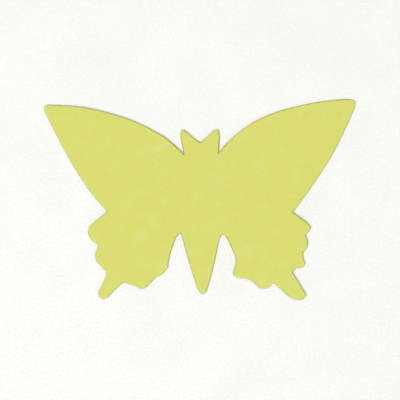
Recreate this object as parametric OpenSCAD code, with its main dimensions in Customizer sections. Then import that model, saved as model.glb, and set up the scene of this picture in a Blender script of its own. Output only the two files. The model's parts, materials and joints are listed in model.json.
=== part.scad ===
// Lever craft punch that cuts a two inch butterfly from card.
// The card slides into the slot between the base and the housing. Pressing the lever's front
// down turns it about the rear hinge pin, its roller drives the punch through the card into
// the die, and two springs lift everything again. The cut butterfly drops out of the base.
// Front is -Y, the card comes in along +Y, and z = 0 is the table.

/* [Cut shape] */
// Width of the butterfly, wing tip to wing tip
cut_w = 50.8; // [47:0.2:51]
// Clearance between the punch and the die, all round
die_clearance = 0.05; // [0.03:0.01:0.08]

/* [Card slot and stroke] */
// Height of the slot that takes the card
card_gap = 1.2; // [0.8:0.1:1.4]
// Travel of the punch
stroke = 7; // [6:0.25:7]
// How far the punch enters the die
penetration = 1; // [0.6:0.1:1.4]

/* [Body] */
// Width of the base and of the lever
body_w = 78; // [78:1:84]
// Length of the base
base_l = 105; // [105:1:112]
// Length of the lever
lever_l = 97; // [96:0.5:98]
// Height of the base above its feet
base_h = 12; // [12:0.5:14]
// How far the rubber feet stand out under the base
foot_h = 1.5; // [1:0.5:2.5]
// Wall of the base and of the housing
wall = 2.5; // [2:0.25:2.5]
// Wall of the lever's skirt
skirt_t = 2.2; // [2:0.1:2.2]

/* [Emblem] */
// How far the soft butterfly stands proud of the lever
inlay_proud = 0.4; // [0.2:0.1:0.8]
// Depth of its pocket
pocket_depth = 0.9; // [0.6:0.1:1]

/* [Hidden] */
$fn = 64;
eps = 0.01;    // overlap of a cutter past the face that it cuts
run = 0.3;     // gap between moulded faces that slide past each other

// Heights, from the table up
plate_t = 2;                                  // steel die and stripper plates
deck_z = foot_h + base_h;                     // top of the base, where the card lies
die_z = deck_z - plate_t;
strip_z = deck_z + card_gap;
guide_z = strip_z + plate_t;
guide_h = 6;
punch_z = deck_z - penetration + stroke;      // cutting face at rest
seat_t = 0.8;
spring_z = guide_z + seat_t;
spring_l = 14.3;
carrier_t = 4;
flange_t = 1.2;                               // flange of a carrier bushing
carrier_z = spring_z + spring_l + flange_t;
clip_t = 0.8;
clip_z = carrier_z + carrier_t + 2.3;          // clip that stops the carrier bushings
pad_t = 3;
roller_r = 5;
roller_gap = 0.15;                            // play between the roller and its pad
roller_z = carrier_z + carrier_t + pad_t + roller_gap + roller_r;
frame_t = 1.5;                                // sheet steel of the lever frame
roof_z = roller_z + roller_r + 2.35;          // underside of the lever's roof
roof_t = 3;
lever_top = roof_z + roof_t;
housing_z = deck_z + card_gap + 0.3;          // underside of the housing over the slot
housing_top = 40;
hinge_z = 38;
skirt_z = 37;                                 // lower edge of the lever's skirt
skirt_rear_z = 31;                            // the same beside the hinge

// Plan positions
die_y = -11.5;                                // centre of the cut
arm = 47;                                     // from the hinge to the roller
hinge_y = die_y + arm;
post_x = 28;
post_y = die_y - 4;
plate_w = 66;                                 // steel plates of the die set
plate_front = -32.5;
plate_rear = 18;
plate_r = 3;
spacer_front = 8;
housing_w = 72;
housing_front = -35.5;
housing_rear = 45;
housing_r = 6;
lever_r = 9;
lever_edge = 3.5;                             // rounding along the lever's top edges
base_r = 11;
chute = [56, 36];                             // opening under the die

// Pins, posts and screws
post_r = 2.5;
pin_r = 2.5;
roller_pin_r = 2;
running = 0.05;                               // radial play of a running fit
screw_r = 1.5;
head_r = 2.6;
head_t = 1.6;
die_screw_at = [[-29, 13], [-10, 13], [10, 13], [29, 13]];
housing_screw_at = [[-27, 24], [27, 24], [-27, 38], [27, 38]];
front_screw_at = [[-28.8, -28.8], [28.8, -28.8]];
lever_screw_at = [[-17, -16], [17, -16], [-17, 28], [17, 28]];
punch_screw_at = [[-14, die_y + 7], [14, die_y + 7], [-11, die_y - 7], [11, die_y - 7]];
foot_at = [[-27, -41], [27, -41], [-27, 38], [27, 38]];   // the rear ones hide two screws
foot_r = 6;

// Lock
lock_travel = 8;
lock_x = -10.5;                               // centre of the slider when it is open
catch_x = 4;
catch_y = -41.5;

// ---------------------------------------------------------------- butterfly outline
// Each stroke runs between two corners, smoothly through its own points. The strokes follow
// each other clockwise, from the left wing tip, and are drawn for a 50.8 mm wide cut.
design_w = 50.8;
strokes = [
    [[-25, 15.4], [-18.9, 15], [-11.7, 13.1], [-5.7, 10.1], [-2.5, 7.2]],               // left forewing
    [[-2.5, 7.2], [-3, 10.3], [-3, 11.1], [-2.6, 11.3], [-0.9, 9.9], [0.1, 9.2]],       // left feeler
    [[0.1, 9.2], [1.8, 10.7], [2.5, 11.3], [3, 11.3], [3.2, 10.3], [3, 7.4]],           // right feeler
    [[3, 7.4], [5.3, 10], [8.8, 12.6], [13.4, 14.5], [19.6, 15.9], [23.7, 16.3]],       // right forewing
    [[23.7, 16.3], [25, 16.2], [25.4, 15.7], [25.2, 14.7]],                             // right tip
    [[25.2, 14.7], [21.9, 7.8], [18, 1.7], [15.1, -2.1]],                               // its outer edge
    [[15.1, -2.1], [17.5, -3.8], [18.2, -4.8]],                                         // right hindwing
    [[18.2, -4.8], [17.2, -5.8]],
    [[17.2, -5.8], [17.6, -6.8], [17.5, -7.9], [16.8, -8.7]],
    [[16.8, -8.7], [16.9, -9.7], [17.2, -10.5], [16.9, -11], [15.7, -11.2], [15.1, -11.9]],
    [[15.1, -11.9], [17.2, -15.3], [17.2, -15.9], [16.8, -16.3]],                       // right tail
    [[16.8, -16.3], [15.8, -16.3], [14.8, -15.9], [12.1, -13.5]],
    [[12.1, -13.5], [11.1, -14.4], [9.9, -14.4], [8.8, -13.4], [7.8, -12.9], [6, -12.6], [5.5, -12]],
    [[5.5, -12], [5.9, -10.7], [5.9, -9.3], [4.4, -6.1], [3.8, -5.6]],
    [[3.8, -5.6], [3.2, -6.4], [2.2, -11], [1.1, -14.9], [0.6, -15.3], [-0.2, -14.7],
        [-1.7, -10.1], [-2.8, -6.1], [-3.1, -5.4]],                                     // abdomen
    [[-3.1, -5.4], [-4, -6.3], [-5.1, -9.7], [-5.2, -11.1]],                            // left hindwing
    [[-5.2, -11.1], [-6.2, -12.2], [-7.2, -12.7], [-8.9, -14.4], [-10.1, -14.3], [-12.1, -13.5],
        [-13.1, -14], [-15.1, -16]],
    [[-15.1, -16], [-15.8, -16.2], [-16.4, -15.8], [-16.4, -15], [-15.3, -12.7], [-15.1, -11.8]],
    [[-15.1, -11.8], [-16.6, -10.3], [-17, -9.3], [-16.8, -8.2], [-16.4, -7.3]],
    [[-16.4, -7.3], [-17.5, -6.7], [-18.1, -5.7], [-18.1, -4.8], [-17.4, -3.9], [-15, -2]],
    [[-15, -2], [-18.1, 1.7], [-21.6, 7.3], [-25.2, 14.3]],                             // left outer edge
    [[-25.2, 14.3], [-25.4, 15], [-25, 15.4]]                                           // left tip
];

// Point i of a stroke, carried on in a straight line past its ends
function knot(s, i) =
    i < 0 ? 2 * s[0] - s[1] :
    i >= len(s) ? 2 * s[len(s) - 1] - s[len(s) - 2] : s[i];

// Catmull-Rom curve from knot i to the next, t from 0 to 1
function curve(s, i, t) =
    let (a = knot(s, i - 1), b = knot(s, i), c = knot(s, i + 1), d = knot(s, i + 2))
    0.5 * (2 * b + (c - a) * t + (2 * a - 5 * b + 4 * c - d) * t * t + (3 * b - a - 3 * c + d) * t * t * t);

// Short spans get two segments, long ones a segment about every 2 mm
function steps(s, i) = max(2, min(4, round(norm(s[i + 1] - s[i]) / 1.8)));

butterfly = [
    for (s = strokes) for (i = [0 : len(s) - 2])
        let (n = steps(s, i)) for (k = [0 : n - 1]) curve(s, i, k / n) * cut_w / design_w
];

// A clockwise outline with every point moved inwards by d
function inset(p, d) = [
    for (i = [0 : len(p) - 1])
        let (
            before = p[(i + len(p) - 1) % len(p)],
            after = p[(i + 1) % len(p)],
            u = (p[i] - before) / norm(p[i] - before),
            v = (after - p[i]) / norm(after - p[i]),
            bisector = [u[1] + v[1], -u[0] - v[0]]
        )
        p[i] + bisector * d / max(0.35, (bisector * bisector) / 2)
];

// ---------------------------------------------------------------- shared shapes
module rounded_rect(w, l, r) {
    square([w, l - 2 * r], center = true);
    square([w - 2 * r, l], center = true);
    for (x = [-1, 1], y = [-1, 1])
        translate([x * (w / 2 - r), y * (l / 2 - r)]) circle(r);
}

module slab(w, l, r, z0, z1, y = 0) {
    translate([0, y, z0]) linear_extrude(z1 - z0) rounded_rect(w, l, r);
}

// A rectangle with its two upper corners rounded, standing on the line y = 0
module arch(w, h, e) {
    translate([-w / 2, 0]) square([w, h - e]);
    translate([e - w / 2, 0]) square([w - 2 * e, h]);
    for (x = [-1, 1]) translate([x * (w / 2 - e), h - e]) circle(e);
}

// A block with round corners in plan and rounded upper edges
module soft_block(w, l, r, z0, z1, e, y = 0) {
    intersection() {
        slab(w, l, r, z0, z1, y);
        translate([0, y + l, z0]) rotate([90, 0, 0]) linear_extrude(2 * l) arch(w, z1 - z0, e);
        translate([-w, y, z0]) rotate([90, 0, 90]) linear_extrude(2 * w) arch(l, z1 - z0, e);
    }
}

// A plate of the die set, with the die set's outline
module plate(z0, z1) {
    slab(plate_w, plate_rear - plate_front, plate_r, z0, z1, (plate_rear + plate_front) / 2);
}

module box(x0, x1, y0, y1, z0, z1) {
    translate([x0, y0, z0]) cube([x1 - x0, y1 - y0, z1 - z0]);
}

module rod(r, z0, z1) {
    translate([0, 0, z0]) cylinder(r = r, h = z1 - z0);
}

// A cylinder along X
module cross_rod(r, x0, x1, y, z) {
    translate([x0, y, z]) rotate([0, 90, 0]) cylinder(r = r, h = x1 - x0);
}

module each_at(places) {
    for (p = places) translate([p[0], p[1], 0]) children();
}

// The same thing on the left and on the right
module both_sides() {
    children();
    mirror([1, 0, 0]) children();
}

// A plate seen along X, from its outline in (y, z)
module side_plate(points, x0, x1) {
    translate([x0, 0, 0]) rotate([90, 0, 90]) linear_extrude(x1 - x0) polygon(points);
}

module butterfly_prism(points, z0, z1) {
    translate([0, die_y, z0]) linear_extrude(z1 - z0) polygon(points);
}

// A pan head screw: the head from z0 to z0 + head_t, its shank up to z1, with a cross recess
module screw_up(z0, z1) {
    difference() {
        union() {
            rod(head_r, z0, z0 + head_t);
            rod(screw_r, z0 + head_t - eps, z1);
        }
        for (a = [0, 90]) rotate([0, 0, a]) box(-1.5, 1.5, -0.3, 0.3, z0 - eps, z0 + 0.9);
    }
}

// The same screw with its head above, from z1 down to z0
module screw_down(z0, z1) {
    translate([0, 0, z0 + z1]) mirror([0, 0, 1]) screw_up(z0, z1);
}

// ---------------------------------------------------------------- base
module foot_boss(r) {
    each_at(foot_at) rod(r, foot_h, deck_z - wall);
}

module base_tray() {
    seat_z = die_z - wall;
    color("white") difference() {
        union() {
            difference() {
                soft_block(body_w, base_l, base_r, foot_h, deck_z, 1.2);
                slab(body_w - 2 * wall, base_l - 2 * wall, base_r - wall, foot_h - 1, deck_z - wall);
            }
            slab(body_w - wall, 56, 3, seat_z, deck_z - 1, die_y + 4);
            slab(chute[0] + 4, chute[1] + 4, 4, foot_h, seat_z + 1, die_y);
            foot_boss(foot_r + 1.5);
            each_at(housing_screw_at) rod(4.5, foot_h + 2, deck_z - 1);
            each_at(die_screw_at) rod(3.2, foot_h + 1, seat_z + 1);
            for (x = [-18, 0, 18]) box(x - 0.75, x + 0.75, 8, base_l / 2 - 1, foot_h + 3, deck_z - 1);
            for (x = [-18, 0, 18]) box(x - 0.75, x + 0.75, 1 - base_l / 2, -31, foot_h + 3, deck_z - 1);
            for (y = [31, -41]) box(1 - body_w / 2, body_w / 2 - 1, y - 0.75, y + 0.75, foot_h + 3, deck_z - 1);
        }
        plate(die_z, deck_z + 1);
        slab(chute[0], chute[1], 3, 0, deck_z + 1, die_y);
        each_at(foot_at) rod(foot_r, 0, foot_h + 1);
        each_at(housing_screw_at) rod(screw_r, 0, deck_z + 1);
        each_at(housing_screw_at) rod(head_r + 0.3, 0, foot_h + 2 + head_t);
        each_at(die_screw_at) rod(screw_r, foot_h + 3, deck_z + 1);
    }
}

module rubber_feet() {
    color("dimgray") each_at(foot_at) difference() {
        rod(foot_r, 0, foot_h + 1);
        rod(foot_r - 3, -eps, 0.5);
    }
}

module die_plate() {
    color("silver") difference() {
        plate(die_z, deck_z);
        butterfly_prism(butterfly, die_z - 1, deck_z + 1);
        each_at(die_screw_at) rod(screw_r, die_z - 1, deck_z + 1);
    }
}

module gap_spacer() {
    color("gray") difference() {
        intersection() {
            plate(deck_z, strip_z);
            box(-plate_w, plate_w, spacer_front, plate_rear, deck_z, strip_z);
        }
        each_at(die_screw_at) rod(screw_r, deck_z - 1, strip_z + 1);
    }
}

module stripper_plate() {
    color("silver") difference() {
        plate(strip_z, guide_z);
        butterfly_prism(butterfly, strip_z - 1, guide_z + 1);
        each_at(die_screw_at) rod(screw_r, strip_z - 1, guide_z + 1);
        each_at([[-post_x, post_y], [post_x, post_y]]) rod(post_r, strip_z - 1, guide_z + 1);
        each_at(front_screw_at) rod(screw_r, strip_z - 1, guide_z + 1);
        each_at(front_screw_at) translate([0, 0, strip_z - eps])
            cylinder(r1 = head_r + running, r2 = screw_r, h = head_r + running - screw_r);
    }
}

module punch_guide() {
    color("whitesmoke") difference() {
        slab(61, 38, 4, guide_z, guide_z + guide_h, die_y);
        butterfly_prism(butterfly, guide_z - 1, guide_z + guide_h + 1);
        each_at([[-post_x, post_y], [post_x, post_y]]) rod(6.2, guide_z - 1, guide_z + guide_h + 1);
        each_at(front_screw_at) rod(5, guide_z - 1, guide_z + guide_h + 1);
    }
}

module die_set_screws() {
    color("dimgray") each_at(die_screw_at) screw_down(foot_h + 4, guide_z + head_t);
}

module guide_post(x) {
    color("silver") translate([x, post_y, 0]) difference() {
        union() {
            rod(post_r, strip_z + 0.2, 43);
            translate([0, 0, 43]) cylinder(r1 = post_r, r2 = post_r - 0.5, h = 0.5);
        }
        // groove for the retaining clip
        difference() {
            rod(post_r + 1, clip_z, clip_z + clip_t);
            rod(post_r - 0.4, clip_z - 1, clip_z + clip_t + 1);
        }
    }
}

module post_clips() {
    color("dimgray") each_at([[-post_x, post_y], [post_x, post_y]]) difference() {
        rod(4.6, clip_z, clip_z + clip_t);
        rod(post_r - 0.4, clip_z - 1, clip_z + clip_t + 1);
        box(-1.6, 1.6, -6, 0, clip_z - 1, clip_z + clip_t + 1);
    }
}

module spring_seats() {
    color("silver") each_at([[-post_x, post_y], [post_x, post_y]]) difference() {
        rod(5, guide_z, spring_z);
        rod(post_r, guide_z - 1, spring_z + 1);
    }
}

// Points of a coil spring's wire, ring after ring along the helix
function coil_ring(r, wire, sides, angle, z) = [
    for (k = [0 : sides - 1])
        let (a = 360 * k / sides, out = r + wire * cos(a))
        [out * cos(angle), out * sin(angle), z + wire * sin(a)]
];

module return_spring(x) {
    r = 3.8;
    wire = 0.6;
    sides = 6;
    rings = 96;
    turns = 5;
    low = spring_z + wire + 0.05;
    high = spring_z + spring_l - wire - 0.05;
    points = [
        for (i = [0 : rings]) each coil_ring(r, wire, sides, 360 * turns * i / rings, low + (high - low) * i / rings)
    ];
    walls = [
        for (i = [0 : rings - 1]) for (k = [0 : sides - 1])
            let (a = i * sides + k, b = i * sides + (k + 1) % sides)
            each [[a, a + sides, b + sides], [a, b + sides, b]]
    ];
    ends = [[for (k = [0 : sides - 1]) k], [for (k = [sides - 1 : -1 : 0]) rings * sides + k]];
    color("gainsboro") translate([x, post_y, 0]) polyhedron(points, concat(walls, ends));
}

// ---------------------------------------------------------------- housing
module housing_shell() {
    len_h = housing_rear - housing_front;
    mid_h = (housing_rear + housing_front) / 2;
    inner_w = housing_w - 2 * wall;
    color("yellowgreen") difference() {
        union() {
            difference() {
                slab(housing_w, len_h, housing_r, deck_z, housing_top, mid_h);
                slab(inner_w, len_h - 2 * wall, housing_r - wall, deck_z - 1, housing_top + 1, mid_h);
            }
            // floor of the rear part, which stands on the base
            intersection() {
                slab(housing_w, len_h, housing_r, deck_z, deck_z + 3, mid_h);
                box(-40, 40, plate_rear + 0.3, housing_rear, deck_z, deck_z + 3);
            }
            each_at(housing_screw_at) rod(4.5, deck_z, deck_z + 12);
            each_at(front_screw_at) rod(4.6, guide_z, guide_z + 7);
            // bosses of the hinge, within the outline of the housing
            intersection() {
                both_sides() cross_rod(6, 30, housing_w / 2, hinge_y, hinge_z);
                slab(housing_w, len_h, housing_r, hinge_z - 7, hinge_z + 7, mid_h);
            }
        }
        box(-40, 40, housing_front - 1, 16, deck_z - 1, housing_z);
        // bevel that leads the card into the slot
        side_plate([[housing_front - 1, housing_z - 1], [housing_front + 2, housing_z - 1],
            [housing_front - 1, housing_z + 3]], -40, 40);
        each_at(housing_screw_at) rod(screw_r, deck_z - 1, deck_z + 10);
        each_at(front_screw_at) rod(screw_r, guide_z - 1, guide_z + 6);
        both_sides() cross_rod(4, 29, housing_w / 2 + 1, hinge_y, hinge_z);
        // slot for the lock's stem
        box(lock_x - 3, lock_x + lock_travel + 3, housing_front - 1, housing_front + wall + 1, 22.6, 26.4);
    }
}

module hinge_bushings() {
    color("ivory") both_sides() difference() {
        union() {
            cross_rod(4, 30, housing_w / 2 + eps, hinge_y, hinge_z);
            cross_rod(5, housing_w / 2, housing_w / 2 + 0.4, hinge_y, hinge_z);
        }
        cross_rod(pin_r + running, 29, housing_w / 2 + 1, hinge_y, hinge_z);
    }
}

module housing_screws() {
    color("dimgray") each_at(housing_screw_at) screw_up(foot_h + 2, deck_z + 9);
}

module front_screws() {
    color("dimgray") each_at(front_screw_at) {
        translate([0, 0, strip_z]) cylinder(r1 = head_r, r2 = screw_r, h = head_r - screw_r);
        rod(screw_r, strip_z + head_r - screw_r - eps, guide_z + 5);
    }
}

// ---------------------------------------------------------------- plunger
module carrier_plate() {
    color("silver") difference() {
        slab(65, 36, 6, carrier_z, carrier_z + carrier_t, die_y);
        each_at([[-post_x, post_y], [post_x, post_y]]) rod(4, carrier_z - 1, carrier_z + carrier_t + 1);
        each_at(punch_screw_at) rod(screw_r, carrier_z - 1, carrier_z + carrier_t + 1);
    }
}

module male_punch() {
    color("lightsteelblue") difference() {
        butterfly_prism(inset(butterfly, die_clearance), punch_z, carrier_z);
        each_at(punch_screw_at) rod(screw_r, carrier_z - 7, carrier_z + 1);
    }
}

module carrier_bushings() {
    top = carrier_z + carrier_t + 2;
    color("darkgoldenrod") each_at([[-post_x, post_y], [post_x, post_y]]) difference() {
        union() {
            rod(5, carrier_z - flange_t, carrier_z);
            rod(4, carrier_z - eps, top);
        }
        rod(post_r + running, carrier_z - 2, top + 1);
    }
}

module thrust_pad() {
    color("ivory") slab(15, 18, 2, carrier_z + carrier_t, carrier_z + carrier_t + pad_t, die_y);
}

module punch_screws() {
    color("dimgray") each_at(punch_screw_at) screw_down(carrier_z - 6, carrier_z + carrier_t + head_t);
}

// ---------------------------------------------------------------- lever
module lever_cover() {
    inner_w = body_w - 2 * skirt_t;
    inner_l = lever_l - 2 * skirt_t;
    half = lever_l / 2;
    color("white") difference() {
        union() {
            difference() {
                soft_block(body_w, lever_l, lever_r, skirt_rear_z, lever_top, lever_edge);
                soft_block(inner_w, inner_l, lever_r - skirt_t, skirt_rear_z - 1, roof_z, 1.5);
            }
            for (x = [-22, 22]) box(x - 0.8, x + 0.8, -30, 30, roof_z - 3.5, roof_z + eps);
        }
        // lower edge of the skirt, low at the hinge and high in front
        side_plate([[-half - 1, skirt_rear_z - 2], [30, skirt_rear_z - 2], [30, skirt_rear_z],
            [24, skirt_z], [-half - 1, skirt_z]], -body_w, body_w);
        butterfly_prism(butterfly, lever_top - pocket_depth, lever_top + 1);
        each_at(lever_screw_at) rod(1.2, roof_z - 1, roof_z + 1.8);
        translate([catch_x + 6, catch_y, 0]) rod(1.2, roof_z - 1, roof_z + 1.8);
        both_sides() cross_rod(pin_r, 30, body_w / 2 + 1, hinge_y, hinge_z);
        both_sides() cross_rod(4.5, body_w / 2 - 1, body_w / 2 + 1, hinge_y, hinge_z);
    }
}

module butterfly_inlay() {
    color([0.86, 0.87, 0.46]) butterfly_prism(butterfly, lever_top - pocket_depth, lever_top + inlay_proud);
}

module lever_frame() {
    web_z = roof_z - frame_t;
    color("gray") difference() {
        union() {
            box(-20, 20, -21, 39.5, web_z, roof_z);
            both_sides() side_plate([[-18, roof_z], [39.5, roof_z], [39.5, hinge_z], [32, hinge_z - 2],
                [27, 45.5], [0, 45.5], [-7.5, roller_z - 1], [-15.5, roller_z - 1]], 12, 14);
            both_sides() cross_rod(4, 12, 14, die_y, roller_z);
            both_sides() cross_rod(4, 12, 14, hinge_y, hinge_z);
        }
        cross_rod(pin_r, -20, 20, hinge_y, hinge_z);
        cross_rod(roller_pin_r, -20, 20, die_y, roller_z);
        each_at(lever_screw_at) rod(1.2, web_z - 1, roof_z + 1);
        slab(12, 24, 5, web_z - 1, roof_z + 1, 13);
    }
}

module hinge_pin() {
    color("silver") cross_rod(pin_r, 1 - body_w / 2, body_w / 2 - 1, hinge_y, hinge_z);
}

module hinge_caps() {
    color([0.86, 0.87, 0.46]) both_sides() {
        cross_rod(4.5, body_w / 2 - 1, body_w / 2, hinge_y, hinge_z);
        translate([body_w / 2 - eps, hinge_y, hinge_z]) rotate([0, 90, 0])
            cylinder(r1 = 4.5, r2 = 3.9, h = 0.6);
    }
}

module roller_pin() {
    color("silver") cross_rod(roller_pin_r, -15.8, 15.8, die_y, roller_z);
}

module roller_clips() {
    color("dimgray") both_sides() difference() {
        cross_rod(3.6, 14, 14.8, die_y, roller_z);
        cross_rod(roller_pin_r, 13, 16, die_y, roller_z);
    }
}

module lever_screws() {
    z0 = roof_z - frame_t - head_t;
    color("dimgray") each_at(lever_screw_at) difference() {
        union() {
            rod(head_r, z0, z0 + head_t);
            rod(1.2, z0 + head_t - eps, roof_z + 1.6);
        }
        for (a = [0, 90]) rotate([0, 0, a]) box(-1.5, 1.5, -0.3, 0.3, z0 - eps, z0 + 0.9);
    }
}

// Steel strip that hangs in front, with a window for the lock's finger
module lock_catch() {
    color("gray") difference() {
        union() {
            box(catch_x, catch_x + 10, catch_y - 3.5, catch_y + 3.5, roof_z - frame_t, roof_z);
            box(catch_x, catch_x + 1.5, catch_y - 3.5, catch_y + 3.5, 34.6, roof_z);
        }
        box(catch_x - 1, catch_x + 3, catch_y - 2.3, catch_y + 2.3, 36.6, 41.2);
        translate([catch_x + 6, catch_y, 0]) rod(1.2, roof_z - frame_t - 1, roof_z + 1);
    }
}

module catch_screw() {
    z0 = roof_z - frame_t - head_t;
    color("dimgray") translate([catch_x + 6, catch_y, 0]) {
        rod(head_r, z0, z0 + head_t);
        rod(1.2, z0 + head_t - eps, roof_z + 1.6);
    }
}

// Soft ribbed strip for the fingers, on the front of the lever
module finger_grip() {
    front = -lever_l / 2;
    color([0.86, 0.87, 0.46]) {
        box(-22, 22, front - 0.6, front, skirt_z + 3, skirt_z + 11);
        for (z = [0 : 3]) box(-20, 20, front - 1.2, front - 0.6 + eps, skirt_z + 3.6 + 2 * z, skirt_z + 4.6 + 2 * z);
    }
}

// ---------------------------------------------------------------- roller
module thrust_roller() {
    color("silver") difference() {
        cross_rod(roller_r, -9, 9, die_y, roller_z);
        cross_rod(roller_pin_r + running, -10, 10, die_y, roller_z);
    }
}

// ---------------------------------------------------------------- lock
module lock_slider() {
    back = housing_front - run;
    color("dimgray") {
        box(lock_x - 6, lock_x + 6, back - 2.2, back, 19.5, 29.5);
        for (i = [-2 : 2]) box(lock_x - 0.5 + 2 * i, lock_x + 0.5 + 2 * i, back - 4, back - 2.2 + eps, 20.5, 28.5);
        box(lock_x - 2.5, lock_x + 2.5, back - eps, housing_front + wall + run, 23, 26);
        // finger that goes through the catch's window
        box(lock_x + 6 - eps, lock_x + 13.2, back - 5.8, back - 3.4, 26.3, 28.9);
        box(lock_x + 2.5, lock_x + 6, back - 5.8, back - 2.2 + eps, 26.3, 28.9);
    }
}

module lock_retainer() {
    color("silver") difference() {
        box(lock_x - 4.5, lock_x + 4.5, housing_front + wall + run, housing_front + wall + run + 1, 20.5, 28.5);
        translate([lock_x, housing_front, 24.5]) rotate([-90, 0, 0]) cylinder(r = 1, h = 8);
    }
}

module lock_screw() {
    inner = housing_front + wall + run + 1;
    color("dimgray") translate([lock_x, 0, 24.5]) rotate([-90, 0, 0]) {
        translate([0, 0, inner]) cylinder(r = 2, h = 0.9);
        translate([0, 0, inner - 1]) cylinder(r = 1, h = 1 + eps);
    }
}

base_tray();
rubber_feet();
die_plate();
gap_spacer();
stripper_plate();
punch_guide();
die_set_screws();
guide_post(-post_x);  // guide_post_left
guide_post(post_x);  // guide_post_right
post_clips();
spring_seats();
return_spring(-post_x);  // return_spring_left
return_spring(post_x);  // return_spring_right
housing_shell();
hinge_bushings();
housing_screws();
front_screws();
carrier_plate();
male_punch();
carrier_bushings();
thrust_pad();
punch_screws();
lever_cover();
butterfly_inlay();
lever_frame();
hinge_pin();
hinge_caps();
roller_pin();
roller_clips();
lever_screws();
lock_catch();
catch_screw();
finger_grip();
thrust_roller();
lock_slider();
lock_retainer();
lock_screw();
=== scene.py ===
"""Looks of a lever craft punch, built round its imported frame.

The frame gives every place and size. Each class below makes one sub-assembly: it builds the
moulded and machined shapes, dresses them in a finish and hands them to the body they ride on.
New shapes are made in millimetres, and dressing a piece turns it to metres, the frame's unit.
"""

from __future__ import annotations

import json
import logging
import math
from collections.abc import Callable, Iterable, Iterator, Sequence
from contextlib import contextmanager
from dataclasses import dataclass
from enum import Enum

import bmesh
import bpy
from mathutils import Euler, Matrix, Vector
from mathutils.geometry import tessellate_polygon

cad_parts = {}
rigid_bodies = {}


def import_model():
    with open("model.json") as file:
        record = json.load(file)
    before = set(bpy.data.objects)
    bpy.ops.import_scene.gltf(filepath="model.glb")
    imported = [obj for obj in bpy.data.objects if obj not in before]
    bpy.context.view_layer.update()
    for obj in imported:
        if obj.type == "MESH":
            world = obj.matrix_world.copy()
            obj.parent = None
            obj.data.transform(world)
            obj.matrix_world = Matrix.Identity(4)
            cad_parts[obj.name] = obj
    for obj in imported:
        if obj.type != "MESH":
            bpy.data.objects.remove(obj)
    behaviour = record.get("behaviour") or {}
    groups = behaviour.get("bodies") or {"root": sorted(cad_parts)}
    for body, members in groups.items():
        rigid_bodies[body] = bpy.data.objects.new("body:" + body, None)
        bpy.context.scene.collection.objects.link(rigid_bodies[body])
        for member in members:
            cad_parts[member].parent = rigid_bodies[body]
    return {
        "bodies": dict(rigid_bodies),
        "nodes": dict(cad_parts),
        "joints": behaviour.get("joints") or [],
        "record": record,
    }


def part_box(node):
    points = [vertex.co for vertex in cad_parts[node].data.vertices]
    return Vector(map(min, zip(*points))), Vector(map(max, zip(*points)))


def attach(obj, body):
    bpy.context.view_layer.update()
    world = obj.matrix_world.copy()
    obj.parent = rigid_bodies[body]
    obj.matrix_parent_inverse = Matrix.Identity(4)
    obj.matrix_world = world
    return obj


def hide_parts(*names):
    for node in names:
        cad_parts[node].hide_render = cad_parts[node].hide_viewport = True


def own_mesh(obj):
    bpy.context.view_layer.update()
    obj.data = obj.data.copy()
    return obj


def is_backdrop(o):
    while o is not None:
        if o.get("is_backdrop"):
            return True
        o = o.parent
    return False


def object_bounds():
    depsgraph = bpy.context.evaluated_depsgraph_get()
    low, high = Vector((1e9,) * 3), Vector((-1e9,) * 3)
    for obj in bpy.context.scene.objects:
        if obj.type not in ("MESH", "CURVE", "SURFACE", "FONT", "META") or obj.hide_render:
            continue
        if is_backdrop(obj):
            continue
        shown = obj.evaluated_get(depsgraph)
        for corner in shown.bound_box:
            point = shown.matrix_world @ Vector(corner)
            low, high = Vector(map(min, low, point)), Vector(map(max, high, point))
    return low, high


LOG = logging.getLogger("craft_punch")
# a millimetre in metres
MM = 0.001
# points nearer than this, in millimetres, are one
MERGE = 0.0005
# the same for a shape of the frame, in metres
CAD_MERGE = 0.000001

Point = Sequence[float]
Height = float | Callable[[float], float]
Ring = list[bmesh.types.BMVert]


class Axis(Enum):
    """Axis that a part is turned about or laid along, or that grinding lines run along."""

    X = 0
    Y = 1
    Z = 2


class Side(Enum):
    """Side of the punch, as its user sees it."""

    LEFT = "left"
    RIGHT = "right"


class Join(Enum):
    """What a tool does to the piece that it meets."""

    ADD = "UNION"
    CUT = "DIFFERENCE"
    KEEP = "INTERSECT"


# ---------------------------------------------------------------- nodes and colours
def find_socket(sockets: bpy.types.bpy_prop_collection, key: str | int) -> bpy.types.NodeSocket:
    """Find a socket in use by its name, its identifier or its number.

    Args:
        sockets: A node's inputs or outputs.
        key: What to look for.

    Returns:
        The first socket that fits.
    """
    if isinstance(key, int):
        return sockets[key]
    return next(s for s in sockets if s.enabled and key in (s.name, s.identifier))


def add_node(
    tree: bpy.types.NodeTree, kind: str, inputs: dict | None = None, **settings: object
) -> bpy.types.Node:
    """Add one node to a shader or geometry tree.

    Args:
        tree: Tree that gets the node.
        kind: Blender's type name of the node.
        inputs: A value, a socket or a list of sockets for each input, by its name or number.
        **settings: Properties of the node itself.

    Returns:
        The new node.
    """
    node = tree.nodes.new(kind)
    for name, value in settings.items():
        setattr(node, name, value)
    for key, value in (inputs or {}).items():
        socket = find_socket(node.inputs, key)
        sources = value if isinstance(value, list) else [value]
        if isinstance(sources[0], bpy.types.NodeSocket):
            for source in sources:
                tree.links.new(source, socket)
        else:
            socket.default_value = value
    return node


def linear(colour: str) -> tuple[float, float, float, float]:
    """Turn an sRGB hex value into a linear colour.

    Args:
        colour: Six hex digits.

    Returns:
        Red, green, blue and an alpha of 1.
    """
    parts = [int(colour[i : i + 2], 16) / 255 for i in (0, 2, 4)]
    return (*[c / 12.92 if c <= 0.04045 else ((c + 0.055) / 1.055) ** 2.4 for c in parts], 1.0)


def per_mm(size: float) -> float:
    """Return the texture scale at which a pattern has this size in millimetres."""
    return 1 / (size * MM)


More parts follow.
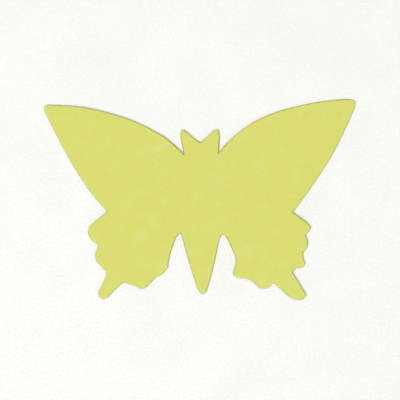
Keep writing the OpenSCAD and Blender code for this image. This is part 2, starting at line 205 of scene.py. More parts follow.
# ---------------------------------------------------------------- finishes
@dataclass(frozen=True)
class Finish:
    """What a surface is made of and how it was made."""

    name: str
    slot: str
    colour: str
    roughness: float
    relief_mm: float = 0.006

    def material(self) -> bpy.types.Material:
        """Return this finish's material, made the first time it is asked for."""
        made = bpy.data.materials.get(self.name)
        if made is None:
            made = bpy.data.materials.new(self.name)
            made.use_nodes = True
            tree = made.node_tree
            tree.nodes.clear()
            coords = add_node(tree, "ShaderNodeTexCoord").outputs["Object"]
            shader = add_node(
                tree,
                "ShaderNodeBsdfPrincipled",
                {"Base Color": linear(self.colour), "Roughness": self.roughness},
            )
            self.draw(tree, coords, shader)
            add_node(tree, "ShaderNodeOutputMaterial", {"Surface": shader.outputs[0]})
        return made

    def draw(
        self, tree: bpy.types.NodeTree, coords: bpy.types.NodeSocket, shader: bpy.types.Node
    ) -> None:
        """Add this finish's own pattern to its shader.

        Args:
            tree: The material's tree.
            coords: Object coordinates, in metres.
            shader: The surface shader.
        """
        raise NotImplementedError

    def tinted(
        self,
        tree: bpy.types.NodeTree,
        shader: bpy.types.Node,
        pattern: bpy.types.NodeSocket,
        other: str,
    ) -> bpy.types.NodeSocket:
        """Mix the finish's colour with another one.

        Args:
            tree: The material's tree.
            shader: The surface shader, whose colour is set.
            pattern: Share of the other colour, from 0 to 1.
            other: The other colour, as hex.

        Returns:
            The mixed colour.
        """
        mix = add_node(
            tree,
            "ShaderNodeMix",
            {"Factor": pattern, "A": linear(self.colour), "B": linear(other)},
            data_type="RGBA",
        )
        colour = find_socket(mix.outputs, "Result")
        tree.links.new(colour, shader.inputs["Base Color"])
        return colour

    def rubbed(
        self, tree: bpy.types.NodeTree, breaks: bpy.types.NodeSocket, start: float = 0.53
    ) -> bpy.types.NodeSocket:
        """Find the raised edges that hands and tools have rubbed.

        Args:
            tree: The material's tree.
            breaks: Pattern that breaks the rubbed edges up.
            start: Pointiness from which an edge counts.

        Returns:
            Share of rubbing, from 0 to 1.
        """
        shape = add_node(tree, "ShaderNodeNewGeometry")
        raised = add_node(
            tree,
            "ShaderNodeMapRange",
            {"Value": shape.outputs["Pointiness"], "From Min": start, "From Max": start + 0.09},
        )
        broken = add_node(
            tree, "ShaderNodeMapRange", {"Value": breaks, "From Min": 0.3, "From Max": 0.6}
        )
        both = add_node(
            tree,
            "ShaderNodeMath",
            {0: raised.outputs["Result"], 1: broken.outputs["Result"]},
            operation="MULTIPLY",
        )
        return both.outputs["Value"]

    def roughened(
        self,
        tree: bpy.types.NodeTree,
        shader: bpy.types.Node,
        pattern: bpy.types.NodeSocket,
        spread: float,
        polish: bpy.types.NodeSocket | None = None,
    ) -> None:
        """Let the roughness wander with a pattern.

        Args:
            tree: The material's tree.
            shader: The surface shader.
            pattern: Pattern from 0 to 1.
            spread: Half of the roughness's range.
            polish: Share of rubbing, which makes the surface smoother.
        """
        wander = add_node(
            tree,
            "ShaderNodeMapRange",
            {
                "Value": pattern,
                "From Min": 0.3,
                "From Max": 0.7,
                "To Min": self.roughness - spread,
                "To Max": self.roughness + spread,
            },
        )
        rough = wander.outputs["Result"]
        if polish is not None:
            smooth = add_node(
                tree, "ShaderNodeMath", {0: polish, 1: -0.14, 2: rough}, operation="MULTIPLY_ADD"
            )
            rough = smooth.outputs["Value"]
        tree.links.new(rough, shader.inputs["Roughness"])

    def embossed(
        self,
        tree: bpy.types.NodeTree,
        shader: bpy.types.Node,
        pattern: bpy.types.NodeSocket,
        **more: object,
    ) -> None:
        """Let the surface rise and fall with a pattern.

        Args:
            tree: The material's tree.
            shader: The surface shader.
            pattern: Pattern from 0 to 1.
            **more: What else shapes the relief, such as its strength.
        """
        relief = add_node(
            tree,
            "ShaderNodeBump",
            {"Height": pattern, "Distance": self.relief_mm * MM, **more},
        )
        tree.links.new(relief.outputs["Normal"], shader.inputs["Normal"])


@dataclass(frozen=True)
class MouldedPlastic(Finish):
    """Injection moulded plastic whose mould was spark eroded to a fine satin grain."""

    shade: str = "E6E6E2"
    grain_mm: float = 0.42
    relief_mm: float = 0.11
    sink_mm: float = 9.0
    sink_depth_mm: float = 0.03
    ior: float = 1.52

    def draw(
        self, tree: bpy.types.NodeTree, coords: bpy.types.NodeSocket, shader: bpy.types.Node
    ) -> None:
        """Add the spark grain, the slow waves of shrinkage, flow shading and rubbed edges."""
        shader.inputs["IOR"].default_value = self.ior
        # real spark grain is about 0.1 mm: this one is coarser, so that it shows
        grain = add_node(
            tree,
            "ShaderNodeTexNoise",
            {"Vector": coords, "Scale": per_mm(self.grain_mm), "Detail": 3.0, "Roughness": 0.65},
        )
        sink = add_node(
            tree,
            "ShaderNodeTexNoise",
            {"Vector": coords, "Scale": per_mm(self.sink_mm), "Detail": 2.0},
        )
        speckle = add_node(
            tree,
            "ShaderNodeMapRange",
            {"Value": grain.outputs["Fac"], "From Min": 0.35, "From Max": 0.68, "To Max": 0.75},
        )
        flow = add_node(
            tree,
            "ShaderNodeMapRange",
            {"Value": sink.outputs["Fac"], "From Min": 0.35, "From Max": 0.75, "To Max": 0.45},
        )
        both = add_node(
            tree,
            "ShaderNodeMath",
            {0: speckle.outputs["Result"], 1: flow.outputs["Result"]},
            operation="ADD",
        )
        self.tinted(tree, shader, both.outputs["Value"], self.shade)
        self.roughened(
            tree, shader, grain.outputs["Fac"], 0.07, self.rubbed(tree, sink.outputs["Fac"])
        )
        wave = add_node(
            tree,
            "ShaderNodeBump",
            {"Height": sink.outputs["Fac"], "Distance": self.sink_depth_mm * MM, "Strength": 0.6},
        )
        self.embossed(tree, shader, grain.outputs["Fac"], Normal=wave.outputs["Normal"])


@dataclass(frozen=True)
class SoftElastomer(Finish):
    """Soft-touch elastomer, moulded: dull, with a velvety edge and a trace of dust."""

    dust: str = "F0F0E4"
    relief_mm: float = 0.07
    grain_mm: float = 0.32
    lint_mm: float = 2.4

    def draw(
        self, tree: bpy.types.NodeTree, coords: bpy.types.NodeSocket, shader: bpy.types.Node
    ) -> None:
        """Add the fine grain, the sheen of soft skin and the dust that it holds."""
        shader.inputs["IOR"].default_value = 1.47
        shader.inputs["Specular IOR Level"].default_value = 0.3
        shader.inputs["Sheen Weight"].default_value = 0.08
        shader.inputs["Sheen Roughness"].default_value = 0.5
        grain = add_node(
            tree,
            "ShaderNodeTexNoise",
            {"Vector": coords, "Scale": per_mm(self.grain_mm), "Detail": 3.0},
        )
        lint = add_node(
            tree,
            "ShaderNodeTexNoise",
            {"Vector": coords, "Scale": per_mm(self.lint_mm), "Detail": 6.0, "Roughness": 0.7},
        )
        specks = add_node(
            tree,
            "ShaderNodeMapRange",
            {"Value": lint.outputs["Fac"], "From Min": 0.52, "From Max": 0.78, "To Max": 0.16},
        )
        self.tinted(tree, shader, specks.outputs["Result"], self.dust)
        self.roughened(tree, shader, grain.outputs["Fac"], 0.05)
        self.embossed(tree, shader, grain.outputs["Fac"])


@dataclass(frozen=True)
class GroundSteel(Finish):
    """Hardened tool steel, surface ground: bright, with fine parallel wheel lines."""

    lay: Axis = Axis.X
    relief_mm: float = 0.004
    shade: str = "A9ABAD"

    def draw(
        self, tree: bpy.types.NodeTree, coords: bpy.types.NodeSocket, shader: bpy.types.Node
    ) -> None:
        """Add the wheel lines along the lay, and the slow change of polish between passes."""
        shader.inputs["Metallic"].default_value = 1.0
        along, across = per_mm(25), per_mm(0.3)
        scale = tuple(along if i == self.lay.value else across for i in range(3))
        stretched = add_node(tree, "ShaderNodeMapping", {"Vector": coords, "Scale": scale})
        lines = add_node(
            tree,
            "ShaderNodeTexNoise",
            {"Vector": stretched.outputs["Vector"], "Scale": 1.0, "Detail": 4.0, "Roughness": 0.65},
        )
        passes = add_node(
            tree, "ShaderNodeTexNoise", {"Vector": coords, "Scale": per_mm(7), "Detail": 2.0}
        )
        self.tinted(tree, shader, lines.outputs["Fac"], self.shade)
        self.roughened(tree, shader, passes.outputs["Fac"], 0.08)
        self.embossed(tree, shader, lines.outputs["Fac"])


@dataclass(frozen=True)
class ZincPlate(Finish):
    """Cold rolled steel sheet with bright zinc: cool grey, with soft cloudy crystals."""

    shade: str = "8F959B"
    relief_mm: float = 0.01
    straw: str = "B9B4A0"

    def draw(
        self, tree: bpy.types.NodeTree, coords: bpy.types.NodeSocket, shader: bpy.types.Node
    ) -> None:
        """Add the crystals, a straw tinge of the passivation and rolling lines."""
        shader.inputs["Metallic"].default_value = 1.0
        crystals = add_node(
            tree, "ShaderNodeTexVoronoi", {"Vector": coords, "Scale": per_mm(1.6), "Randomness": 1.0}
        )
        level = add_node(tree, "ShaderNodeSeparateColor", {"Color": crystals.outputs["Color"]})
        share = add_node(
            tree, "ShaderNodeMapRange", {"Value": level.outputs["Red"], "To Max": 0.45}
        )
        colour = self.tinted(tree, shader, share.outputs["Result"], self.shade)
        clouds = add_node(
            tree, "ShaderNodeTexNoise", {"Vector": coords, "Scale": per_mm(6), "Detail": 3.0}
        )
        tinge = add_node(
            tree,
            "ShaderNodeMapRange",
            {"Value": clouds.outputs["Fac"], "From Min": 0.45, "From Max": 0.8, "To Max": 0.5},
        )
        passivated = add_node(
            tree,
            "ShaderNodeMix",
            {"Factor": tinge.outputs["Result"], "A": colour, "B": linear(self.straw)},
            data_type="RGBA",
        )
        tree.links.new(find_socket(passivated.outputs, "Result"), shader.inputs["Base Color"])
        self.roughened(tree, shader, clouds.outputs["Fac"], 0.07)
        self.embossed(tree, shader, clouds.outputs["Fac"], Strength=0.5)


@dataclass(frozen=True)
class TurnedMetal(Finish):
    """Metal turned or centreless ground: fine lines run round the part's axis."""

    axis: Axis = Axis.Z
    relief_mm: float = 0.003
    shade: str = "9A9C9F"
    line_mm: float = 0.18

    def draw(
        self, tree: bpy.types.NodeTree, coords: bpy.types.NodeSocket, shader: bpy.types.Node
    ) -> None:
        """Add the lines left by the tool, and a few duller bands."""
        shader.inputs["Metallic"].default_value = 1.0
        along, around = per_mm(self.line_mm), per_mm(40)
        scale = tuple(along if i == self.axis.value else around for i in range(3))
        stretched = add_node(tree, "ShaderNodeMapping", {"Vector": coords, "Scale": scale})
        lines = add_node(
            tree,
            "ShaderNodeTexNoise",
            {"Vector": stretched.outputs["Vector"], "Scale": 1.0, "Detail": 3.0, "Roughness": 0.6},
        )
        bands = add_node(
            tree, "ShaderNodeTexNoise", {"Vector": coords, "Scale": per_mm(3), "Detail": 2.0}
        )
        self.tinted(tree, shader, lines.outputs["Fac"], self.shade)
        self.roughened(tree, shader, bands.outputs["Fac"], 0.05)
        self.embossed(tree, shader, lines.outputs["Fac"])


@dataclass(frozen=True)
class BlackOxide(Finish):
    """Steel screws blackened in hot salts: near black, oily, and bright where edges rub."""

    worn: str = "8A8C8F"

    def draw(
        self, tree: bpy.types.NodeTree, coords: bpy.types.NodeSocket, shader: bpy.types.Node
    ) -> None:
        """Add the oily clouds and the rubbed edges."""
        shader.inputs["Metallic"].default_value = 1.0
        clouds = add_node(
            tree, "ShaderNodeTexNoise", {"Vector": coords, "Scale": per_mm(0.9), "Detail": 4.0}
        )
        rubbed = self.rubbed(tree, clouds.outputs["Fac"], start=0.54)
        self.tinted(tree, shader, rubbed, self.worn)
        self.roughened(tree, shader, clouds.outputs["Fac"], 0.1)
        self.embossed(tree, shader, clouds.outputs["Fac"])


@dataclass(frozen=True)
class NaturalNylon(Finish):
    """Unpigmented nylon, milled: waxy ivory, slightly translucent, with cutter marks."""

    shade: str = "D9D3BE"

    def draw(
        self, tree: bpy.types.NodeTree, coords: bpy.types.NodeSocket, shader: bpy.types.Node
    ) -> None:
        """Add the waxy depth, the cutter marks and a little yellowing."""
        shader.inputs["IOR"].default_value = 1.53
        shader.inputs["Subsurface Weight"].default_value = 0.12
        shader.inputs["Subsurface Scale"].default_value = 0.8 * MM
        cutter = add_node(
            tree,
            "ShaderNodeTexWave",
            {"Vector": coords, "Scale": per_mm(4), "Distortion": 1.2, "Detail": 2.0},
            bands_direction="DIAGONAL",
        )
        ageing = add_node(
            tree, "ShaderNodeTexNoise", {"Vector": coords, "Scale": per_mm(8), "Detail": 2.0}
        )
        self.tinted(tree, shader, ageing.outputs["Fac"], self.shade)
        self.roughened(tree, shader, ageing.outputs["Fac"], 0.06)
        self.embossed(tree, shader, cutter.outputs["Fac"])


@dataclass(frozen=True)
class FootRubber(Finish):
    """Moulded synthetic rubber: dark, dull and slightly dusty where it stood."""

    dust: str = "5A5854"
    relief_mm: float = 0.02

    def draw(
        self, tree: bpy.types.NodeTree, coords: bpy.types.NodeSocket, shader: bpy.types.Node
    ) -> None:
        """Add the pores and the dust."""
        shader.inputs["IOR"].default_value = 1.5
        shader.inputs["Specular IOR Level"].default_value = 0.35
        pores = add_node(
            tree, "ShaderNodeTexNoise", {"Vector": coords, "Scale": per_mm(0.4), "Detail": 4.0}
        )
        dusty = add_node(
            tree,
            "ShaderNodeMapRange",
            {"Value": pores.outputs["Fac"], "From Min": 0.5, "From Max": 0.8, "To Max": 0.6},
        )
        self.tinted(tree, shader, dusty.outputs["Result"], self.dust)
        self.roughened(tree, shader, pores.outputs["Fac"], 0.06)
        self.embossed(tree, shader, pores.outputs["Fac"])


@dataclass(frozen=True)
class StudioPaper(Finish):
    """Pale matt paper under the object."""

    shade: str = "E2E1DE"
    relief_mm: float = 0.02

    def draw(
        self, tree: bpy.types.NodeTree, coords: bpy.types.NodeSocket, shader: bpy.types.Node
    ) -> None:
        """Add the fibres of the paper."""
        fibres = add_node(
            tree, "ShaderNodeTexNoise", {"Vector": coords, "Scale": per_mm(1.2), "Detail": 5.0}
        )
        self.tinted(tree, shader, fibres.outputs["Fac"], self.shade)
        self.embossed(tree, shader, fibres.outputs["Fac"])


WHITE_ABS = MouldedPlastic(
    "White ABS, satin moulded", "white_abs", "FBFBFA", 0.42, shade="F3F3F0"
)
LIME_ABS = MouldedPlastic(
    "Yellow-green ABS, satin moulded", "lime_abs", "D6D86C", 0.4, shade="CCD05F"
)
LIME_SOFT = SoftElastomer("Yellow-green soft-touch elastomer", "lime_soft_touch", "D6D86C", 0.6)
GREY_POM = MouldedPlastic(
    "Dark grey acetal, moulded", "grey_pom", "4A4C4F", 0.36, shade="404245", grain_mm=0.35
)
NYLON = NaturalNylon("Natural nylon, milled", "natural_nylon", "E9E4D2", 0.45)
RUBBER = FootRubber("Black rubber, moulded", "foot_rubber", "2C2C2D", 0.78)
GROUND_STEEL = GroundSteel("Tool steel, surface ground", "tool_steel", "C9CBCD", 0.28)
ZINC = ZincPlate("Steel sheet, bright zinc", "sheet_steel", "B4B9BE", 0.38)
POST_STEEL = TurnedMetal("Silver steel, centreless ground", "bright_steel", "D2D3D5", 0.16)
PIN_STEEL = TurnedMetal(
    "Pin steel, ground and polished", "bright_steel", "D2D3D5", 0.2, axis=Axis.X
)
WIRE_STEEL = TurnedMetal("Spring wire, drawn", "bright_steel", "C4C5C8", 0.24, line_mm=0.5)
BRASS = TurnedMetal(
    "Bearing brass, turned", "bushing_brass", "D4AE62", 0.26, shade="B58F48", line_mm=0.25
)
OXIDE = BlackOxide("Steel screws, black oxide", "black_steel", "26272A", 0.42)
PRINT = MouldedPlastic(
    "Grey pad printing ink",
    "grey_pom",
    "6F7275",
    0.5,
    shade="787B7E",
    grain_mm=0.3,
    relief_mm=0.008,
)
PAPER = StudioPaper("Pale paper, matt", "", "EDECEA", 0.9)


# ---------------------------------------------------------------- shapes, in millimetres
def new_object(name: str, mesh: bpy.types.Mesh) -> bpy.types.Object:
    """Link a new object with this mesh to the scene and return it."""
    made = bpy.data.objects.new(name, mesh)
    bpy.context.scene.collection.objects.link(made)
    return made


def settled(piece: bpy.types.Object) -> bpy.types.Object:
    """Turn a piece's modifiers into plain mesh.

    Args:
        piece: Object whose modifiers are live.

    Returns:
        The same object, with the result as its mesh and no modifier.
    """
    graph = bpy.context.evaluated_depsgraph_get()
    mesh = bpy.data.meshes.new_from_object(piece.evaluated_get(graph))
    piece.modifiers.clear()
    piece.data = mesh
    mesh.name = piece.name
    return piece


@contextmanager
def opened(mesh: bpy.types.Mesh, merge: float = MERGE) -> Iterator[bmesh.types.BMesh]:
    """Open a mesh for editing, with its doubles merged, and write it back at the end.

    Args:
        mesh: A mesh that may be changed.
        merge: Points nearer than this are one, in the mesh's own unit.

    Yields:
        Its editable form.
    """
    bm = bmesh.new()
    bm.from_mesh(mesh)
    bmesh.ops.remove_doubles(bm, verts=bm.verts, dist=merge)
    yield bm
    bm.to_mesh(mesh)
    bm.free()


@dataclass(frozen=True)
class Box:
    """Box round a shape."""

    low: Vector
    high: Vector

    @property
    def middle(self) -> Vector:
        """Return the middle of the box."""
        return (self.low + self.high) / 2

    @property
    def size(self) -> Vector:
        """Return the length of each side."""
        return self.high - self.low


def box(node: str) -> Box:
    """Return the box round a CAD node."""
    low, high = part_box(node)
    return Box(low / MM, high / MM)


def area(outline: Sequence[Point]) -> float:
    """Return an outline's signed area, which is positive when it runs anticlockwise."""
    return sum(a[0] * b[1] - b[0] * a[1] for a, b in zip(outline, [*outline[1:], outline[0]])) / 2


def offset(outline: Sequence[Point], distance: float, bluntest: float = 0.7) -> list[Point]:
    """Move an anticlockwise outline outwards, point by point.

    Args:
        outline: Points of the outline.
        distance: How far each side moves out; negative moves it in.
        bluntest: Keeps the tips of sharp corners from running away.

    Returns:
        As many points, moved along their corners' bisectors.
    """
    moved = []
    for before, here, after in zip([outline[-1], *outline[:-1]], outline, [*outline[1:], outline[0]]):
        u = (Vector(here) - Vector(before)).normalized()
        v = (Vector(after) - Vector(here)).normalized()
        bisector = Vector((u.y + v.y, -u.x - v.x))
        reach = max(bluntest, bisector.length_squared / 2)
        moved.append(tuple(Vector(here) + bisector * distance / reach))
    return moved


def circle(x: float, y: float, radius: float, steps: int = 48) -> list[Point]:
    """Return an anticlockwise circle's points."""
    turns = [math.tau * i / steps for i in range(steps)]
    return [(x + radius * math.cos(a), y + radius * math.sin(a)) for a in turns]


def rectangle(x0: float, x1: float, y0: float, y1: float) -> list[Point]:
    """Return an anticlockwise rectangle's corners."""
    return [(x0, y0), (x1, y0), (x1, y1), (x0, y1)]


def rounding(radius: float, steps: int) -> list[Point]:
    """Divide the quarter round between a flat face and a side.

    Args:
        radius: Its radius.
        steps: Number of steps.

    Returns:
        How far each point lies in from the side and down from the face, starting on the face.
    """
    turns = [math.pi / 2 * i / steps for i in range(steps + 1)]
    return [(radius * (1 - math.sin(a)), radius * (1 - math.cos(a))) for a in turns]


def soft_step(value: float, start: float, end: float) -> float:
    """Return a smooth rise from 0 to 1 between two places."""
    share = min(1.0, max(0.0, (value - start) / (end - start)))
    return share * share * (3 - 2 * share)


@dataclass(frozen=True)
class RoundedPlan:
    """Plan of a moulded part: a rectangle with round corners, centred on x."""

    x: float
    front: float
    rear: float
    corner: float
    corner_steps: int = 12
    side_steps: int = 96
    end_steps: int = 8
    least_corner: float = 0.2

    def points(self, inset: float = 0.0) -> list[Point]:
        """Walk round the plan anticlockwise, from the front of the right side.

        Args:
            inset: How far the outline is moved inwards.

        Returns:
            The points, as many for any inset.
        """
        x, front, rear = self.x - inset, self.front + inset, self.rear - inset
        r = max(self.corner - inset, self.least_corner)
        centres = [(x - r, rear - r), (r - x, rear - r), (r - x, front + r), (x - r, front + r)]
        found: list[Point] = []
        last = Vector((x, front + r))
        for quarter, (cx, cy) in enumerate(centres):
            steps = self.end_steps if quarter % 2 else self.side_steps
            shares = [i / self.corner_steps for i in range(self.corner_steps + 1)]
            turns = [math.pi / 2 * (quarter + share) for share in shares]
            arc = [Vector((cx + r * math.cos(a), cy + r * math.sin(a))) for a in turns]
            found += [tuple(last.lerp(arc[0], i / steps)) for i in range(1, steps)]
            found += [tuple(point) for point in arc]
            last = arc[-1]
        return found


@dataclass(frozen=True)
class ShadowLine:
    """Fine groove round a moulding, narrow and deep, so that it stays dark in soft light."""

    z: float
    depth: float
    lip: float = 0.08
    mouth: float = 0.42
    throat: float = 0.3
    floor: float = 0.25

    def profile(self, lean: float) -> list[Point]:
        """Walk through the groove from below.

        Args:
            lean: How far the wall leans in at the groove.

        Returns:
            The inset and the height of each step.
        """
        half = [(0.0, self.mouth), (self.lip, self.throat), (self.depth, self.floor)]
        below = [(lean + depth, self.z - reach) for depth, reach in half]
        above = [(lean + depth, self.z + reach) for depth, reach in reversed(half)]
        return below + above


class Shell:
    """A closed mesh made of rings of points, skins between them and flat caps."""

    def __init__(self) -> None:
        """Start with nothing."""
        self.bm = bmesh.new()

    def ring(self, outline: Iterable[Point], z: Height) -> Ring:
        """Add a ring of points.

        Args:
            outline: Their places in plan.
            z: Their height, or a function that gives it from y.

        Returns:
            The ring's vertices.
        """
        height = z if callable(z) else lambda y: z
        return [self.bm.verts.new((x, y, height(y))) for x, y in outline]

    def rings(self, plan: RoundedPlan, profile: Iterable[tuple[float, Height]]) -> list[Ring]:
        """Add a ring of a plan for each inset and height of its sides' profile."""
        return [self.ring(plan.points(inset), z) for inset, z in profile]

    def skin(self, *rings: Ring) -> None:
        """Join each ring to the next with four-sided faces."""
        for low, high in zip(rings, rings[1:]):
            for i in range(len(low)):
                j = (i + 1) % len(low)
                self.bm.faces.new((low[i], low[j], high[j], high[i]))

    def cap(self, rim: Ring, *holes: Ring) -> None:
        """Fill a flat rim, leaving its holes open."""
        loops = [rim, *holes]
        verts = [v for loop in loops for v in loop]
        for triangle in tessellate_polygon([[v.co for v in loop] for loop in loops]):
            self.bm.faces.new([verts[i] for i in triangle])

    def made(self, name: str) -> bpy.types.Object:
        """Turn the mesh's faces outwards and return it as an object."""
        bmesh.ops.recalc_face_normals(self.bm, faces=self.bm.faces)
        mesh = bpy.data.meshes.new(name)
        self.bm.to_mesh(mesh)
        self.bm.free()
        return new_object(name, mesh)

    def solid(self, rings: Sequence[Ring], name: str) -> bpy.types.Object:
        """Join these rings, cap both ends and return the solid."""
        self.skin(*rings)
        self.cap(rings[0])
        self.cap(rings[-1])
        return self.made(name)


def moulded(plan: RoundedPlan, profile: Iterable[Point], name: str = "tool") -> bpy.types.Object:
    """Make a solid from its plan and its sides' profile.

    Args:
        plan: Its plan.
        profile: The inset and the height of each ring.
        name: Name of the object.

    Returns:
        The closed solid.
    """
    shell = Shell()
    return shell.solid(shell.rings(plan, profile), name)


def prism(outline: Sequence[Point], z0: float, z1: float, name: str = "tool") -> bpy.types.Object:
    """Make an upright prism.

    Args:
        outline: Its plan.
        z0: Height of its underside.
        z1: Height of its top.
        name: Name of the object.

    Returns:
        The closed prism.
    """
    shell = Shell()
    return shell.solid([shell.ring(outline, z) for z in (z0, z1)], name)


def lathe(profile: Sequence[Point], steps: int, name: str) -> bpy.types.Object:
    """Turn a profile about Z.

    Args:
        profile: Radius and height of each step, from the underside's middle to the top's.
        steps: Number of faces round the part.
        name: Name of the object.

    Returns:
        The closed part.
    """
    shell = Shell()
    return shell.solid([shell.ring(circle(0, 0, r, steps), z) for r, z in profile], name)


def sideways(piece: bpy.types.Object, axis: Axis, origin: Sequence[float]) -> bpy.types.Object:
    """Lay an upright shape down along another axis.

    Args:
        piece: Shape made along Z, about the origin.
        axis: X turns its top to the right, and Y turns its top to the front.
        origin: Where its origin goes.

    Returns:
        The same object, its mesh turned and moved.
    """
    turns = {
        Axis.X: Matrix(((0, 0, 1, 0), (1, 0, 0, 0), (0, 1, 0, 0), (0, 0, 0, 1))),
        Axis.Y: Matrix(((1, 0, 0, 0), (0, 0, -1, 0), (0, 1, 0, 0), (0, 0, 0, 1))),
    }
    piece.data.transform(Matrix.Translation(origin) @ turns[axis])
    return piece


def on_side(piece: bpy.types.Object, side: Side) -> bpy.types.Object:
    """Mirror a piece made for the right side, if it belongs on the left."""
    if side is Side.LEFT:
        piece.data.transform(Matrix.Scale(-1, 4, (1, 0, 0)))
        piece.data.flip_normals()
    return piece


def combine(piece: bpy.types.Object, join: Join, tools: Iterable[bpy.types.Object]) -> bpy.types.Object:
    """Change a piece with other shapes, one after another.

    Args:
        piece: Closed mesh that is changed.
        join: What each tool does to it.
        tools: Closed meshes, used up.

    Returns:
        The same piece, as plain mesh.
    """
    for tool in tools:
        step = piece.modifiers.new(tool.name, "BOOLEAN")
        step.object = tool
        step.operation = join.value
        step.solver = "MANIFOLD"
        settled(piece)
        bpy.data.objects.remove(tool)
    return piece


def dressed(
    piece: bpy.types.Object,
    finish: Finish,
    edge: float = 0.0,
    sharp: float = 32.0,
    unit: float = MM,
) -> bpy.types.Object:
    """Clean a piece's mesh, turn it to metres, break its edges and give it its finish.

    Args:
        piece: Piece as plain mesh.
        finish: What it is made of.
        edge: Width of the small bevel along its sharp edges, in millimetres.
        sharp: Angle in degrees above which an edge stays sharp.
        unit: Unit of its mesh, in metres.

    Returns:
        The same piece.
    """
    with opened(piece.data, MERGE * MM / unit) as bm:
        bmesh.ops.scale(bm, vec=(unit, unit, unit), verts=bm.verts)
        if edge:
            flat = math.radians(0.5)
            bmesh.ops.dissolve_limit(
                bm, angle_limit=flat, verts=bm.verts, edges=bm.edges, delimit={"NORMAL"}
            )
    piece.data.polygons.foreach_set("use_smooth", [True] * len(piece.data.polygons))
    piece.data.set_sharp_from_angle(angle=math.radians(sharp))
    piece.data.materials.clear()
    piece.data.materials.append(finish.material())
    if edge:
        bevel = piece.modifiers.new("Broken edges", "BEVEL")
        bevel.width = edge * MM
        bevel.segments = 2
        bevel.limit_method = "ANGLE"
        bevel.angle_limit = math.radians(sharp)
        bevel.miter_outer = "MITER_ARC"
    even = piece.modifiers.new("Even shading", "WEIGHTED_NORMAL")
    even.keep_sharp = True
    return piece


class Yard:
    """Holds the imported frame's nodes, and knows which body each piece rides on."""

    def __init__(self, frame: dict) -> None:
        """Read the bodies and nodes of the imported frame."""
        self.nodes = frame["nodes"]
        bodies = frame["record"]["behaviour"]["bodies"]
        self.body = {node: body for body, nodes in bodies.items() for node in nodes}

    def shape(self, node: str) -> bpy.types.Mesh:
        """Return a copy of a CAD node's mesh, in millimetres."""
        mesh = self.nodes[node].data.copy()
        mesh.transform(Matrix.Scale(1 / MM, 4))
        return mesh

    def solids(self, node: str) -> list[Box]:
        """Find the separate solids of a CAD node.

        Args:
            node: Name of the node.

        Returns:
            The box of each solid, sorted from the front to the rear.
        """
        found = []
        with opened(self.shape(node)) as bm:
            left = set(bm.verts)
            while left:
                reached = [left.pop()]
                for vert in reached:
                    for other in (edge.other_vert(vert) for edge in vert.link_edges):
                        if other in left:
                            left.remove(other)
                            reached.append(other)
                spans = [sorted(vert.co[i] for vert in reached) for i in range(3)]
                found.append(Box(Vector(s[0] for s in spans), Vector(s[-1] for s in spans)))
        return sorted(found, key=lambda solid: (round(solid.low.y, 2), solid.low.x))

    def places(self, node: str) -> list[Point]:
        """Return the middle of each solid of a node, seen from above."""
        return [tuple(solid.middle.xy) for solid in self.solids(node)]

    def posts(
        self, node: str, radius: float, z0: float, z1: float, steps: int = 48
    ) -> list[bpy.types.Object]:
        """Make an upright round post at each solid of a node.

        Args:
            node: Name of the node.
            radius: Radius of a post.
            z0: Height of its underside.
            z1: Height of its top.
            steps: Number of faces round it.

        Returns:
            The posts, as tools to add or to cut with.
        """
        return [prism(circle(x, y, radius, steps), z0, z1) for x, y in self.places(node)]

    def machined(self, node: str, finish: Finish, edge: float) -> None:
        """Take over a CAD node's shape, break its edges and dress it.

        Args:
            node: Name of the node.
            finish: What it is made of.
            edge: Width of the broken edges.
        """
        piece = new_object(f"{node}_finished", self.nodes[node].data.copy())
        # the frame's own shape stays in metres, so that its corners stay exactly in place
        with opened(piece.data, CAD_MERGE) as bm:
            bmesh.ops.recalc_face_normals(bm, faces=bm.faces)
        self.fit(dressed(piece, finish, edge, unit=1.0), finish, node)

    def fit(self, piece: bpy.types.Object, finish: Finish, node: str, stands_in: bool = True) -> None:
        """Let a piece ride on the body of a CAD node.

        Args:
            piece: Finished piece, in its place.
            finish: What it is made of; not used.
            node: CAD node that it belongs to.
            stands_in: Whether it is shown instead of that node.
        """
        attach(piece, self.body[node])
        if stands_in:
            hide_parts(node)
        LOG.info("%s rides on %s, %d faces", piece.name, self.body[node], len(piece.data.polygons))


